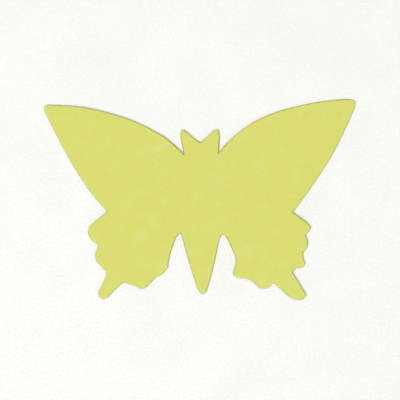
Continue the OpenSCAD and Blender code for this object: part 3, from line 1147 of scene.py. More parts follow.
# ---------------------------------------------------------------- geometry node trees
class Grower:
    """A geometry node tree with named inputs, and the pieces grown with it."""

    def __init__(self, name: str, sizes: Sequence[tuple[str, str]]) -> None:
        """Make the tree's inputs.

        Args:
            name: Name of the tree.
            sizes: Name and socket type of each input, apart from the geometry and material.
        """
        self.tree = bpy.data.node_groups.new(name, "GeometryNodeTree")
        sockets = [("Geometry", "NodeSocketGeometry"), *sizes, ("Material", "NodeSocketMaterial")]
        self.inputs = {
            label: self.tree.interface.new_socket(label, in_out="INPUT", socket_type=kind)
            for label, kind in sockets
        }
        self.tree.interface.new_socket("Geometry", in_out="OUTPUT", socket_type="NodeSocketGeometry")
        self.size = self.add("NodeGroupInput").outputs

    def add(self, kind: str, inputs: dict | None = None, **settings: object) -> bpy.types.Node:
        """Add a node to the tree."""
        return add_node(self.tree, kind, inputs, **settings)

    def close(self, geometry: bpy.types.NodeSocket) -> None:
        """End the tree: make the instances real and give them the material."""
        real = self.add("GeometryNodeRealizeInstances", {"Geometry": geometry})
        painted = self.add(
            "GeometryNodeSetMaterial",
            {"Geometry": real.outputs["Geometry"], "Material": self.size["Material"]},
        )
        self.add("NodeGroupOutput", {"Geometry": painted.outputs["Geometry"]})

    def grow(
        self, name: str, finish: Finish, places: Sequence[Sequence[float]], **values: object
    ) -> bpy.types.Object:
        """Grow one piece at these places and make it plain mesh.

        Args:
            name: Name of the piece.
            finish: What it is made of.
            places: Points that the tree starts from.
            **values: Its sizes, with underscores for the spaces in the inputs' names.

        Returns:
            The piece.
        """
        mesh = bpy.data.meshes.new(name)
        mesh.from_pydata([tuple(place) for place in places], [], [])
        piece = new_object(name, mesh)
        step = piece.modifiers.new(self.tree.name, "NODES")
        step.node_group = self.tree
        step[self.inputs["Material"].identifier] = finish.material()
        for label, value in values.items():
            step[self.inputs[label.replace("_", " ")].identifier] = value
        return settled(piece)


def screw_grower() -> Grower:
    """Make the tree for a group of screws.

    Returns:
        Tree that puts one pan head screw with a cross recess at each point, head at the top.
    """
    grower = Grower(
        "Screws",
        [
            ("Head radius", "NodeSocketFloat"),
            ("Head height", "NodeSocketFloat"),
            ("Shank radius", "NodeSocketFloat"),
            ("Shank length", "NodeSocketFloat"),
            ("Turn", "NodeSocketVector"),
            ("Seed", "NodeSocketInt"),
        ],
    )
    size, add = grower.size, grower.add
    # faces round; lower and upper radius; underside and top: as shares of the named sizes
    rounds = (
        (40, "Head radius", 1.0, 1.0, "Head height", 0.0, 0.45),
        (40, "Head radius", 1.0, 0.9, "Head height", 0.45, 0.75),
        (40, "Head radius", 0.9, 0.62, "Head height", 0.75, 1.0),
        (24, "Shank radius", 1.0, 1.0, "Shank length", -0.98, 0.02),
    )
    layers = []
    for faces, radius, lower, upper, height, foot, top in rounds:
        wide, narrow, depth, lift = [
            add("ShaderNodeMath", {0: size[label], 1: share}, operation="MULTIPLY").outputs[0]
            for label, share in ((radius, lower), (radius, upper), (height, top - foot), (height, foot))
        ]
        cone = add(
            "GeometryNodeMeshCone",
            {"Vertices": faces, "Radius Bottom": wide, "Radius Top": narrow, "Depth": depth},
        )
        way = add("ShaderNodeCombineXYZ", {"Z": lift})
        raised = add(
            "GeometryNodeTransform", {"Geometry": cone.outputs["Mesh"], "Translation": way.outputs[0]}
        )
        layers.append(raised.outputs["Geometry"])
    solid = add("GeometryNodeMeshBoolean", {"Mesh 2": layers}, operation="UNION", solver="EXACT")

    # the cross is as wide as the head and a quarter of it thick
    blade, thickness = [
        add("ShaderNodeMath", {0: size["Head radius"], 1: share}, operation="MULTIPLY").outputs[0]
        for share in (1.15, 0.26)
    ]
    head_top = add("ShaderNodeCombineXYZ", {"Z": size["Head height"]})
    slots = []
    for width, depth in ((blade, thickness), (thickness, blade)):
        sides = add("ShaderNodeCombineXYZ", {"X": width, "Y": depth, "Z": size["Head height"]})
        slot = add("GeometryNodeMeshCube", {"Size": sides.outputs[0]})
        raised = add(
            "GeometryNodeTransform",
            {"Geometry": slot.outputs["Mesh"], "Translation": head_top.outputs[0]},
        )
        slots.append(raised.outputs["Geometry"])
    recessed = add(
        "GeometryNodeMeshBoolean",
        {"Mesh 1": solid.outputs["Mesh"], "Mesh 2": slots},
        operation="DIFFERENCE",
        solver="EXACT",
    )

    # each screw stopped at its own angle
    spin = add(
        "FunctionNodeRandomValue",
        {"Min": 0.0, "Max": math.pi / 2, "Seed": size["Seed"]},
        data_type="FLOAT",
    )
    own_turn = add("ShaderNodeCombineXYZ", {"Z": find_socket(spin.outputs, "Value")})
    placed = add(
        "GeometryNodeInstanceOnPoints",
        {"Points": size["Geometry"], "Instance": recessed.outputs["Mesh"], "Rotation": size["Turn"]},
    )
    turned = add(
        "GeometryNodeRotateInstances",
        {"Instances": placed.outputs["Instances"], "Rotation": own_turn.outputs[0]},
    )
    grower.close(turned.outputs["Instances"])
    return grower


def spring_grower() -> Grower:
    """Make the tree for a compression spring.

    Returns:
        Tree that winds one closed-end spring upwards from each point.
    """
    grower = Grower(
        "Spring",
        [
            ("Coil radius", "NodeSocketFloat"),
            ("Wire radius", "NodeSocketFloat"),
            ("Height", "NodeSocketFloat"),
            ("Turns", "NodeSocketFloat"),
        ],
    )
    size, add = grower.size, grower.add
    coil = add(
        "GeometryNodeCurveSpiral",
        {
            "Resolution": 36,
            "Rotations": size["Turns"],
            "Start Radius": size["Coil radius"],
            "End Radius": size["Coil radius"],
            "Height": 0.0,
        },
    )
    share = add("GeometryNodeSplineParameter")
    turn = add(
        "ShaderNodeMath", {0: share.outputs["Factor"], 1: size["Turns"]}, operation="MULTIPLY"
    )
    # a closed turn rises by the wire's thickness and a hair
    closed = add("ShaderNodeMath", {0: size["Wire radius"], 1: 2.05}, operation="MULTIPLY")
    last = add("ShaderNodeMath", {0: size["Turns"], 1: 1.0}, operation="SUBTRACT")
    between = add(
        "ShaderNodeMath",
        {0: closed.outputs[0], 1: -2.0, 2: size["Height"]},
        operation="MULTIPLY_ADD",
    )
    # the first and the last turn lie closed, and the turns between share the height
    stretches = (
        (0.0, 1.0, closed.outputs[0]),
        (1.0, last.outputs[0], between.outputs[0]),
        (last.outputs[0], size["Turns"], closed.outputs[0]),
    )
    height: bpy.types.NodeSocket | float = 0.0
    for start, end, rise in stretches:
        risen = add(
            "ShaderNodeMapRange",
            {"Value": turn.outputs[0], "From Min": start, "From Max": end, "To Max": rise},
        )
        height = add("ShaderNodeMath", {0: height, 1: risen.outputs[0]}, operation="ADD").outputs[0]
    lift = add("ShaderNodeCombineXYZ", {"Z": height})
    wound = add(
        "GeometryNodeSetPosition", {"Geometry": coil.outputs["Curve"], "Offset": lift.outputs[0]}
    )
    section = add(
        "GeometryNodeCurvePrimitiveCircle", {"Resolution": 14, "Radius": size["Wire radius"]}
    )
    wire = add(
        "GeometryNodeCurveToMesh",
        {
            "Curve": wound.outputs["Geometry"],
            "Profile Curve": section.outputs["Curve"],
            "Fill Caps": True,
        },
    )
    placed = add(
        "GeometryNodeInstanceOnPoints", {"Points": size["Geometry"], "Instance": wire.outputs["Mesh"]}
    )
    grower.close(placed.outputs["Instances"])
    return grower


def ridge_grower() -> Grower:
    """Make the tree for rows of moulded ridges.

    Returns:
        Tree that lays a row of round-ended ridges from each point.
    """
    grower = Grower(
        "Ridges",
        [
            ("Count", "NodeSocketInt"),
            ("Pitch", "NodeSocketVector"),
            ("Length", "NodeSocketVector"),
            ("Width", "NodeSocketFloat"),
            ("Flatness", "NodeSocketVector"),
        ],
    )
    size, add = grower.size, grower.add
    ends = [
        add("ShaderNodeVectorMath", {0: size["Length"], "Scale": share}, operation="SCALE").outputs[0]
        for share in (-0.5, 0.5)
    ]
    line = add("GeometryNodeCurvePrimitiveLine", {"Start": ends[0], "End": ends[1]})
    fine = add("GeometryNodeResampleCurve", {"Curve": line.outputs["Curve"], "Count": 49})
    # the ridge is full in the middle, and over its own width it rounds off at each end
    share = add("GeometryNodeSplineParameter")
    centred = add("ShaderNodeMath", {0: share.outputs["Factor"], 1: 0.5}, operation="SUBTRACT")
    away = add("ShaderNodeMath", {0: centred.outputs[0]}, operation="ABSOLUTE")
    span = add("ShaderNodeVectorMath", {0: size["Length"]}, operation="LENGTH").outputs["Value"]
    along = add("ShaderNodeMath", {0: away.outputs[0], 1: span}, operation="MULTIPLY")
    half_span = add("ShaderNodeMath", {0: span, 1: 0.5}, operation="MULTIPLY")
    full = add("ShaderNodeMath", {0: half_span.outputs[0], 1: size["Width"]}, operation="SUBTRACT")
    into_end = add(
        "ShaderNodeMapRange",
        {"Value": along.outputs[0], "From Min": full.outputs[0], "From Max": half_span.outputs[0]},
    )
    square = add("ShaderNodeMath", {0: into_end.outputs[0], 1: 2.0}, operation="POWER")
    rest = add("ShaderNodeMath", {0: 1.0, 1: square.outputs[0]}, operation="SUBTRACT")
    root = add("ShaderNodeMath", {0: rest.outputs[0], 1: 0.5}, operation="POWER")
    body = add("ShaderNodeMath", {0: root.outputs[0], 1: 0.02}, operation="MAXIMUM")
    radius = add("ShaderNodeMath", {0: size["Width"], 1: 0.5}, operation="MULTIPLY")
    section = add(
        "GeometryNodeCurvePrimitiveCircle", {"Resolution": 16, "Radius": radius.outputs[0]}
    )
    ridge = add(
        "GeometryNodeCurveToMesh",
        {
            "Curve": fine.outputs["Curve"],
            "Profile Curve": section.outputs["Curve"],
            "Scale": body.outputs[0],
            "Fill Caps": True,
        },
    )
    flat = add(
        "GeometryNodeTransform", {"Geometry": ridge.outputs["Mesh"], "Scale": size["Flatness"]}
    )
    row = add("GeometryNodeMeshLine", {"Count": size["Count"], "Offset": size["Pitch"]})
    rows = add(
        "GeometryNodeInstanceOnPoints", {"Points": size["Geometry"], "Instance": row.outputs["Mesh"]}
    )
    real = add("GeometryNodeRealizeInstances", {"Geometry": rows.outputs["Instances"]})
    placed = add(
        "GeometryNodeInstanceOnPoints",
        {"Points": real.outputs["Geometry"], "Instance": flat.outputs["Geometry"]},
    )
    grower.close(placed.outputs["Instances"])
    return grower


def copy_grower() -> Grower:
    """Make the tree for equal parts.

    Returns:
        Tree that puts a copy of one part at each point.
    """
    grower = Grower("Copies", [("Part", "NodeSocketObject")])
    part = grower.add("GeometryNodeObjectInfo", {"Object": grower.size["Part"]})
    placed = grower.add(
        "GeometryNodeInstanceOnPoints",
        {"Points": grower.size["Geometry"], "Instance": part.outputs["Geometry"]},
    )
    grower.close(placed.outputs["Instances"])
    return grower


def scale_grower() -> Grower:
    """Make the tree for a printed scale.

    Returns:
        Tree that prints a row of ticks from each point, with every fifth one longer.
    """
    grower = Grower(
        "Printed scale",
        [
            ("Count", "NodeSocketInt"),
            ("Pitch", "NodeSocketFloat"),
            ("Line width", "NodeSocketFloat"),
            ("Short", "NodeSocketFloat"),
            ("Long", "NodeSocketFloat"),
            ("Thickness", "NodeSocketFloat"),
        ],
    )
    size, add = grower.size, grower.add
    step = add("ShaderNodeCombineXYZ", {"X": size["Pitch"]})
    row = add("GeometryNodeMeshLine", {"Count": size["Count"], "Offset": step.outputs[0]})
    bar = add("GeometryNodeMeshCube", {"Size": (1.0, 1.0, 1.0)})
    upright = add(
        "GeometryNodeTransform", {"Geometry": bar.outputs["Mesh"], "Translation": (0.0, 0.5, 0.5)}
    )
    number = add("GeometryNodeInputIndex")
    place = add("ShaderNodeMath", {0: number.outputs[0], 1: 5.0}, operation="MODULO")
    fifth = add("ShaderNodeMath", {0: place.outputs[0], 1: 0.5}, operation="LESS_THAN")
    reach = add(
        "ShaderNodeMapRange",
        {"Value": fifth.outputs[0], "To Min": size["Short"], "To Max": size["Long"]},
    )
    shape = add(
        "ShaderNodeCombineXYZ",
        {"X": size["Line width"], "Y": reach.outputs[0], "Z": size["Thickness"]},
    )
    ticks = add(
        "GeometryNodeInstanceOnPoints",
        {
            "Points": row.outputs["Mesh"],
            "Instance": upright.outputs["Geometry"],
            "Scale": shape.outputs[0],
        },
    )
    placed = add(
        "GeometryNodeInstanceOnPoints",
        {"Points": size["Geometry"], "Instance": ticks.outputs["Instances"]},
    )
    grower.close(placed.outputs["Instances"])
    return grower


# ---------------------------------------------------------------- lever
def emblem_outline(mesh: bpy.types.Mesh) -> list[Point]:
    """Read the butterfly's outline off the top of its solid.

    Args:
        mesh: The emblem's CAD shape.

    Returns:
        The outline's points, anticlockwise.
    """
    with opened(mesh) as bm:
        bm.normal_update()
        top = max(v.co.z for v in bm.verts) - MERGE
        near: dict[bmesh.types.BMVert, list[bmesh.types.BMVert]] = {}
        for edge in bm.edges:
            on_top = all(v.co.z > top for v in edge.verts)
            if on_top and any(face.normal.z < 0.5 for face in edge.link_faces):
                for here, there in (edge.verts, reversed(edge.verts)):
                    near.setdefault(here, []).append(there)
        start = next(iter(near))
        walk = [start, near[start][0]]
        while walk[-1] is not start:
            walk.append(next(v for v in near[walk[-1]] if v is not walk[-2]))
        outline = [tuple(v.co.xy) for v in walk[:-1]]
    return outline if area(outline) > 0 else outline[::-1]


@dataclass
class Lever:
    """The moulded lever with its emblem, caps and soft grip."""

    yard: Yard
    outline: list[Point]
    # cover
    corner: float = 9.0
    edge: float = 3.4
    wall: float = 2.2
    draft: float = 0.35
    rim: float = 0.7
    inner_edge: float = 1.5
    line_below_top: float = 5.4
    line_depth: float = 0.8
    skirt_front: float = 37.0
    skirt_drop: Point = (19.0, 32.0)
    # what is sunk into its top
    pocket: float = 0.9
    lip: float = 0.12
    groove_at: tuple[float, ...] = (28.5, 33.0, 37.5)
    groove_reach: float = 15.0
    groove_half: float = 1.05
    groove_depth: float = 1.3
    # what is inside and at its sides
    rib_at: tuple[float, ...] = (-22.0, 22.0)
    rib_half: float = 0.8
    rib_reach: float = 30.0
    rib_depth: float = 3.5
    seat_radius: float = 4.7
    seat_depth: float = 1.0
    # emblem and grip
    emblem_play: float = 0.02
    emblem_edge: float = 0.16
    grip_corner: float = 2.2
    grip_pitch: float = 1.9
    grip_width: float = 1.15

    def __post_init__(self) -> None:
        """Take the lever's size from the frame."""
        self.box = box("lever_cover")
        self.roof = box("lever_frame").high.z
        self.plan = RoundedPlan(self.box.high.x, self.box.low.y, self.box.high.y, self.corner)

    def above_skirt(self, rise: float) -> Callable[[float], float]:
        """Return the height this far above the skirt's lower edge, which drops to the hinge."""
        front, rear = self.skirt_front, self.box.low.z
        return lambda y: front + (rear - front) * soft_step(y, *self.skirt_drop) + rise

    def lean(self, z: float) -> float:
        """Return how far the outer wall leans in at a height."""
        return self.draft * (z - self.box.low.z) / self.box.size.z

    def cover(self) -> bpy.types.Object:
        """Build the cover: a drafted shell with a soft top edge, a pocket, grooves and ribs."""
        top = self.box.high.z
        line = ShadowLine(top - self.line_below_top, self.line_depth)
        rim = rounding(self.rim, 5)
        profile = [(self.draft + inset, top - drop) for inset, drop in rounding(self.edge, 10)]
        profile += reversed(line.profile(self.lean(line.z)))
        # round the skirt's lower edge, and up the inside to the roof
        profile += [(inset, self.above_skirt(rise)) for inset, rise in reversed(rim)]
        profile += [(self.wall - inset, self.above_skirt(rise)) for inset, rise in rim]
        inner = reversed(rounding(self.inner_edge, 5))
        profile += [(self.wall + inset, self.roof - drop) for inset, drop in inner]
        shell = Shell()
        rings = shell.rings(self.plan, profile)
        shell.skin(*rings)
        shell.cap(rings[-1])
        shell.cap(rings[0], *self.sunk(shell))
        cover = shell.made("lever_cover_moulding")

        pin, face = box("hinge_pin").middle, self.box.high.x
        seat = circle(0, 0, self.seat_radius, 64)
        seats = [
            sideways(prism(seat, -self.seat_depth, self.seat_depth), Axis.X, (x, pin.y, pin.z))
            for x in (-face, face)
        ]
        combine(cover, Join.CUT, seats)
        half, reach, foot = self.rib_half, self.rib_reach, self.roof - self.rib_depth
        plans = [rectangle(x - half, x + half, -reach, reach) for x in self.rib_at]
        return combine(cover, Join.ADD, [prism(plan, foot, self.roof + 0.3) for plan in plans])

    def sunk(self, shell: Shell) -> list[Ring]:
        """Sink the emblem's pocket and three grip grooves into the top.

        Args:
            shell: The lever's mesh.

        Returns:
            The rim of each, which the top leaves open.
        """
        sinks = [(self.outline, self.pocket)]
        for y in self.groove_at:
            half = self.groove_half
            groove = RoundedPlan(self.groove_reach, y - half, y + half, half - 0.01, 8, 2, 24)
            sinks.append((groove.points(), self.groove_depth))
        top, rims = self.box.high.z, []
        for outline, depth in sinks:
            rim = shell.ring(offset(outline, self.lip), top)
            wall, floor = shell.ring(outline, top - self.lip), shell.ring(outline, top - depth)
            shell.skin(rim, wall, floor)
            shell.cap(floor)
            rims.append(rim)
        return rims

    def emblem(self) -> bpy.types.Object:
        """Build the soft butterfly, with a fine rounding along its edge."""
        inlay = box("butterfly_inlay")
        inside = offset(self.outline, -self.emblem_play)
        profile = [(0.0, inlay.low.z)]
        edge = reversed(rounding(self.emblem_edge, 4))
        profile += [(inset, inlay.high.z - drop) for inset, drop in edge]
        shell = Shell()
        rings = [shell.ring(offset(inside, -inset), z) for inset, z in profile]
        return shell.solid(rings, "butterfly_emblem")

    def hinge_cap(self, side: Side) -> bpy.types.Object:
        """Build one domed cap over the end of the hinge pin.

        Args:
            side: Which end.

        Returns:
            The cap.
        """
        profile = [(0.3, -0.95), (4.3, -0.95), (4.5, -0.8), (4.5, 0.1)]
        for turn in (0.4, 0.8, 1.2, 1.57):
            profile.append((4.5 - 0.45 * (1 - math.cos(turn)), 0.1 + 0.4 * math.sin(turn)))
        # a ring is sunk round the middle of the dome
        profile += [(2.6, 0.56), (2.35, 0.5), (2.1, 0.3), (1.8, 0.3), (1.55, 0.5), (1.3, 0.58), (0.3, 0.6)]
        cap = lathe(profile, 72, f"hinge_cap_{side.value}")
        middle = box("hinge_caps").middle
        return on_side(sideways(cap, Axis.X, (self.box.high.x, middle.y, middle.z)), side)

    def grip(self, ridges: Grower) -> bpy.types.Object:
        """Build the soft strip for the fingers, with its ridges."""
        strip = box("finger_grip")
        front, middle = strip.high.y, strip.middle.z
        plan = RoundedPlan(strip.high.x, strip.low.z, strip.high.z, self.grip_corner, 8, 4, 12)
        face = moulded(plan, [(0.0, 0.0), (0.0, 0.35), (0.08, 0.52), (0.25, 0.6)], "finger_grip_soft")
        rows = ridges.grow(
            "grip_ridges",
            LIME_SOFT,
            [(0.0, front - 0.5, middle - 1.5 * self.grip_pitch)],
            Count=4,
            Pitch=(0.0, 0.0, self.grip_pitch),
            Length=(strip.size.x - 5.0, 0.0, 0.0),
            Width=self.grip_width,
            Flatness=(1.0, 1.15, 1.0),
        )
        return combine(sideways(face, Axis.Y, (0.0, front + 0.05, 0.0)), Join.ADD, [rows])

    def build(self, ridges: Grower) -> None:
        """Make every piece of the lever."""
        fit = self.yard.fit
        fit(dressed(self.cover(), WHITE_ABS), WHITE_ABS, "lever_cover")
        fit(dressed(self.emblem(), LIME_SOFT, sharp=60), LIME_SOFT, "butterfly_inlay")
        for side in Side:
            fit(dressed(self.hinge_cap(side), LIME_ABS), LIME_ABS, "hinge_caps")
        fit(dressed(self.grip(ridges), LIME_SOFT, sharp=50), LIME_SOFT, "finger_grip")
        for node, finish, edge in (
            ("lever_frame", ZINC, 0.15),
            ("lock_catch", ZINC, 0.15),
            ("hinge_pin", PIN_STEEL, 0.3),
            ("roller_pin", PIN_STEEL, 0.25),
            ("thrust_roller", PIN_STEEL, 0.3),
            ("roller_clips", OXIDE, 0.12),
        ):
            self.yard.machined(node, finish, edge)


# ---------------------------------------------------------------- fasteners
class HeadWay(Enum):
    """Way that a screw's head points, as its turn from head up."""

    UP = (0.0, 0.0, 0.0)
    DOWN = (math.pi, 0.0, 0.0)
    REAR = (-math.pi / 2, 0.0, 0.0)


@dataclass(frozen=True)
class Screws:
    """The equal screws in one node."""

    node: str
    way: HeadWay
    shank_radius: float = 1.5
    head_height: float = 1.6


@dataclass
class Fasteners:
    """Every screw of the punch, each set on the body that holds it."""

    yard: Yard
    tree: Grower
    kinds: tuple[Screws, ...] = (
        Screws("die_set_screws", HeadWay.UP),
        Screws("punch_screws", HeadWay.UP),
        Screws("housing_screws", HeadWay.DOWN),
        Screws("lever_screws", HeadWay.DOWN, 1.2),
        Screws("catch_screw", HeadWay.DOWN, 1.2),
        Screws("lock_screw", HeadWay.REAR, 1.0, 0.9),
    )

    def screws(self, kind: Screws) -> bpy.types.Object:
        """Build one node's screws.

        Args:
            kind: Which screws.

        Returns:
            All of them, as one piece.
        """
        solids = self.yard.solids(kind.node)
        up = Euler(kind.way.value).to_matrix() @ Vector((0.0, 0.0, 1.0))
        whole = abs(up.dot(solids[0].size))
        return self.tree.grow(
            f"{kind.node}_cross_head",
            OXIDE,
            [solid.middle + up * (whole / 2 - kind.head_height) for solid in solids],
            Head_radius=solids[0].size.x / 2,
            Head_height=kind.head_height,
            Shank_radius=kind.shank_radius,
            Shank_length=whole - kind.head_height,
            Turn=kind.way.value,
            Seed=sum(ord(letter) for letter in kind.node),
        )

    def build(self) -> None:
        """Make the screws of every sub-assembly."""
        for kind in self.kinds:
            self.yard.fit(dressed(self.screws(kind), OXIDE, sharp=24), OXIDE, kind.node)
        self.yard.machined("front_screws", OXIDE, 0.1)


# ---------------------------------------------------------------- cutting set
@dataclass
class CuttingSet:
    """Die, stripper, guide, posts and springs, and the plunger between them."""

    yard: Yard
    springs: Grower
    coil: float = 3.8
    wire: float = 0.6
    turns: float = 7.0
    play: float = 0.02
    pressed: float = 0.51

    def spring(self, side: Side) -> None:
        """Wind one return spring from its seat up to the underside of the carrier's bushings."""
        name = side.value
        seat, under = box("spring_seats").high.z, box("carrier_bushings").low.z
        post = box(f"guide_post_{name}").middle
        end = self.wire + self.play
        spring = self.springs.grow(
            f"return_spring_{name}_wound",
            WIRE_STEEL,
            [(post.x, post.y, seat + end)],
            Coil_radius=self.coil,
            Wire_radius=self.wire,
            Height=under - seat - 2 * end,
            Turns=self.turns,
        )
        self.yard.fit(dressed(spring, WIRE_STEEL, sharp=50), WIRE_STEEL, f"return_spring_{name}")
        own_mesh(spring)

    def build(self) -> None:
        """Make every piece of the cutting set and of the plunger."""
        for node, finish, edge in (
            ("die_plate", GROUND_STEEL, 0.12),
            ("stripper_plate", GROUND_STEEL, 0.12),
            ("male_punch", GROUND_STEEL, 0.05),
            ("gap_spacer", ZINC, 0.1),
            ("carrier_plate", ZINC, 0.3),
            ("punch_guide", NYLON, 0.4),
            ("thrust_pad", NYLON, 0.5),
            ("spring_seats", ZINC, 0.12),
            ("post_clips", OXIDE, 0.12),
            ("carrier_bushings", BRASS, 0.2),
        ):
            self.yard.machined(node, finish, edge)
        for side in Side:
            self.yard.machined(f"guide_post_{side.value}", POST_STEEL, 0.08)
            self.spring(side)


# ---------------------------------------------------------------- base
@dataclass
class Base:
    """Moulded tray with its ribs and bosses, its feet and the print on its front."""

    yard: Yard
    copies: Grower
    # tray
    corner: float = 11.0
    wall: float = 2.5
    edge: float = 2.0
    rim: float = 0.6
    draft: float = 0.3
    fillet: float = 1.2
    line_height: float = 3.4
    line_depth: float = 0.7
    # what stands under its top
    chute: RoundedPlan = RoundedPlan(28.0, -29.5, 6.5, 3.0, 8, 1, 1)
    bed: RoundedPlan = RoundedPlan(37.5, -35.5, 20.5, 3.0, 8, 1, 1)
    foot_boss: float = 7.5
    screw_boss: float = 4.5
    die_screw_boss: float = 3.2
    rib: float = 1.5
    long_ribs: tuple[float, ...] = (-18.0, 0.0, 18.0)
    cross_ribs: tuple[float, ...] = (31.0, -41.0)
    # what is cut into it
    play: float = 0.06
    foot_socket: float = 6.05
    head_recess: float = 2.9
    head_depth: float = 3.6
    ejector_radius: float = 2.0
    ejector_depth: float = 0.15
    ejector_at: tuple[Point, ...] = tuple((x, y) for x in (-9.0, 9.0) for y in (-46.0, 26.0, 42.0))
    # print
    ink: float = 0.06
    scale_reach: int = 30
    scale_from_front: float = 3.4
    arrow_from_front: float = 12.2

    def __post_init__(self) -> None:
        """Take the tray's size from the frame."""
        self.box = box("base_tray")
        self.die = box("die_plate")
        self.bed_low = self.die.low.z - self.wall

    def block(self) -> bpy.types.Object:
        """Build the tray's outside as one block with a soft upper edge."""
        low, high = self.box.low, self.box.high
        plan = RoundedPlan(high.x, low.y, high.y, self.corner, 20, 2, 2)
        line = ShadowLine(low.z + self.line_height, self.line_depth)
        profile = [(inset, low.z + rise) for inset, rise in rounding(self.rim, 8)]
        profile += line.profile(self.draft * self.line_height / self.box.size.z)
        edge = reversed(rounding(self.edge, 8))
        profile += [(self.draft + inset, high.z - drop) for inset, drop in edge]
        return moulded(plan, profile, "base_tray_moulding")

    def hollow(self) -> bpy.types.Object:
        """Build the hollow under the tray, a little wider at its mouth."""
        low, high, wall = self.box.low, self.box.high, self.wall
        plan = RoundedPlan(high.x - wall, low.y + wall, high.y - wall, self.corner - wall, 16, 2, 2)
        fillet = reversed(rounding(self.fillet, 6))
        profile = [(0.0, low.z - 1)]
        profile += [(self.draft + inset, high.z - wall - drop) for inset, drop in fillet]
        return moulded(plan, profile)

    def ribs(self) -> Iterator[bpy.types.Object]:
        """Build the ribs under the tray: along it before and behind the chute, and two across."""
        low, high = self.box.low, self.box.high
        half = self.rib / 2
        plans = [
            rectangle(x - half, x + half, *stretch)
            for x in self.long_ribs
            for stretch in ((self.chute.rear + 1.5, high.y - 1), (low.y + 1, self.chute.front - 1.5))
        ]
        plans += [rectangle(1 - high.x, high.x - 1, y - half, y + half) for y in self.cross_ribs]
        for plan in plans:
            yield prism(plan, low.z + 3, high.z - 1)

    def tray(self) -> bpy.types.Object:
        """Build the tray from its block, its hollow, its ribs and its bosses."""
        low, top, posts = self.box.low.z, self.box.high.z, self.yard.posts
        tray = combine(self.block(), Join.CUT, [self.hollow()])
        added = [
            prism(self.bed.points(), self.bed_low, top - 1),
            prism(self.chute.points(-2.0), low + 0.2, self.bed_low + 1),
            *posts("rubber_feet", self.foot_boss, low + 0.2, top - 1),
            *posts("housing_screws", self.screw_boss, low + 2, top - 1),
            *posts("die_set_screws", self.die_screw_boss, low + 1, self.bed_low + 1),
            *self.ribs(),
        ]
        combine(tray, Join.ADD, added)
        die, play = self.die, self.play
        seat = RoundedPlan(die.high.x + play, die.low.y - play, die.high.y + play, 3.0 + play, 8, 1, 1)
        roof = top - self.wall
        cuts = [
            prism(seat.points(), die.low.z, top + 1),
            prism(self.chute.points(), low - 1, top + 1),
            *posts("rubber_feet", self.foot_socket, low - 1, low + 1, 64),
            *posts("housing_screws", self.head_recess, low - 1, low + self.head_depth),
        ]
        # shallow round marks where pins pushed the tray out of its mould
        cuts += [
            prism(circle(x, y, self.ejector_radius), roof - 1, roof + self.ejector_depth)
            for x, y in self.ejector_at
        ]
        return combine(tray, Join.CUT, cuts)

    def feet(self) -> bpy.types.Object:
        """Turn the rubber feet, each with a suction ring in its sole."""
        profile = [(0.2, 0.5), (2.4, 0.5), (2.9, 0.35), (3.15, 0.0), (3.4, 0.0), (3.55, 0.25), (3.85, 0.25)]
        profile += [(4.0, 0.0), (5.4, 0.0), (5.75, 0.12), (5.95, 0.4), (6.0, 0.8), (6.0, 2.45), (0.2, 2.45)]
        foot = lathe(profile, 72, "foot")
        places = [(x, y, 0.0) for x, y in self.yard.places("rubber_feet")]
        feet = self.copies.grow("rubber_feet_moulded", RUBBER, places, Part=foot)
        bpy.data.objects.remove(foot)
        return feet

    def scale(self, ticks: Grower) -> bpy.types.Object:
        """Print the scale along the front, in millimetres from the middle."""
        front, top = self.box.low.y + self.scale_from_front, self.box.high.z
        return ticks.grow(
            "front_scale",
            PRINT,
            [(-self.scale_reach, front, top - self.ink / 2)],
            Count=2 * self.scale_reach + 1,
            Pitch=1.0,
            Line_width=0.16,
            Short=1.6,
            Long=2.8,
            Thickness=self.ink,
        )

    def arrow(self) -> bpy.types.Object:
        """Print the arrow that marks the middle and the way the card goes in."""
        tip, z = self.box.low.y + self.arrow_from_front, self.box.high.z
        left = [(0.0, tip), (-2.2, tip - 3.0), (-0.75, tip - 3.0), (-0.75, tip - 5.0)]
        right = [(-x, y) for x, y in reversed(left[1:])]
        return prism(left + right, z - self.ink / 2, z + self.ink / 2, "middle_arrow")

    def build(self, ticks: Grower) -> None:
        """Make the tray, its feet and the print on it."""
        fit = self.yard.fit
        fit(dressed(self.tray(), WHITE_ABS), WHITE_ABS, "base_tray")
        fit(dressed(self.feet(), RUBBER), RUBBER, "rubber_feet")
        for print_ in (self.scale(ticks), self.arrow()):
            fit(dressed(print_, PRINT), PRINT, "base_tray", stands_in=False)


# ---------------------------------------------------------------- housing
@dataclass(frozen=True)
class RidgeRow:
    """One row of upright grip ridges on the housing."""

    start: tuple[float, float, float]
    count: int
    pitch: tuple[float, float, float]
    flatness: tuple[float, float, float]


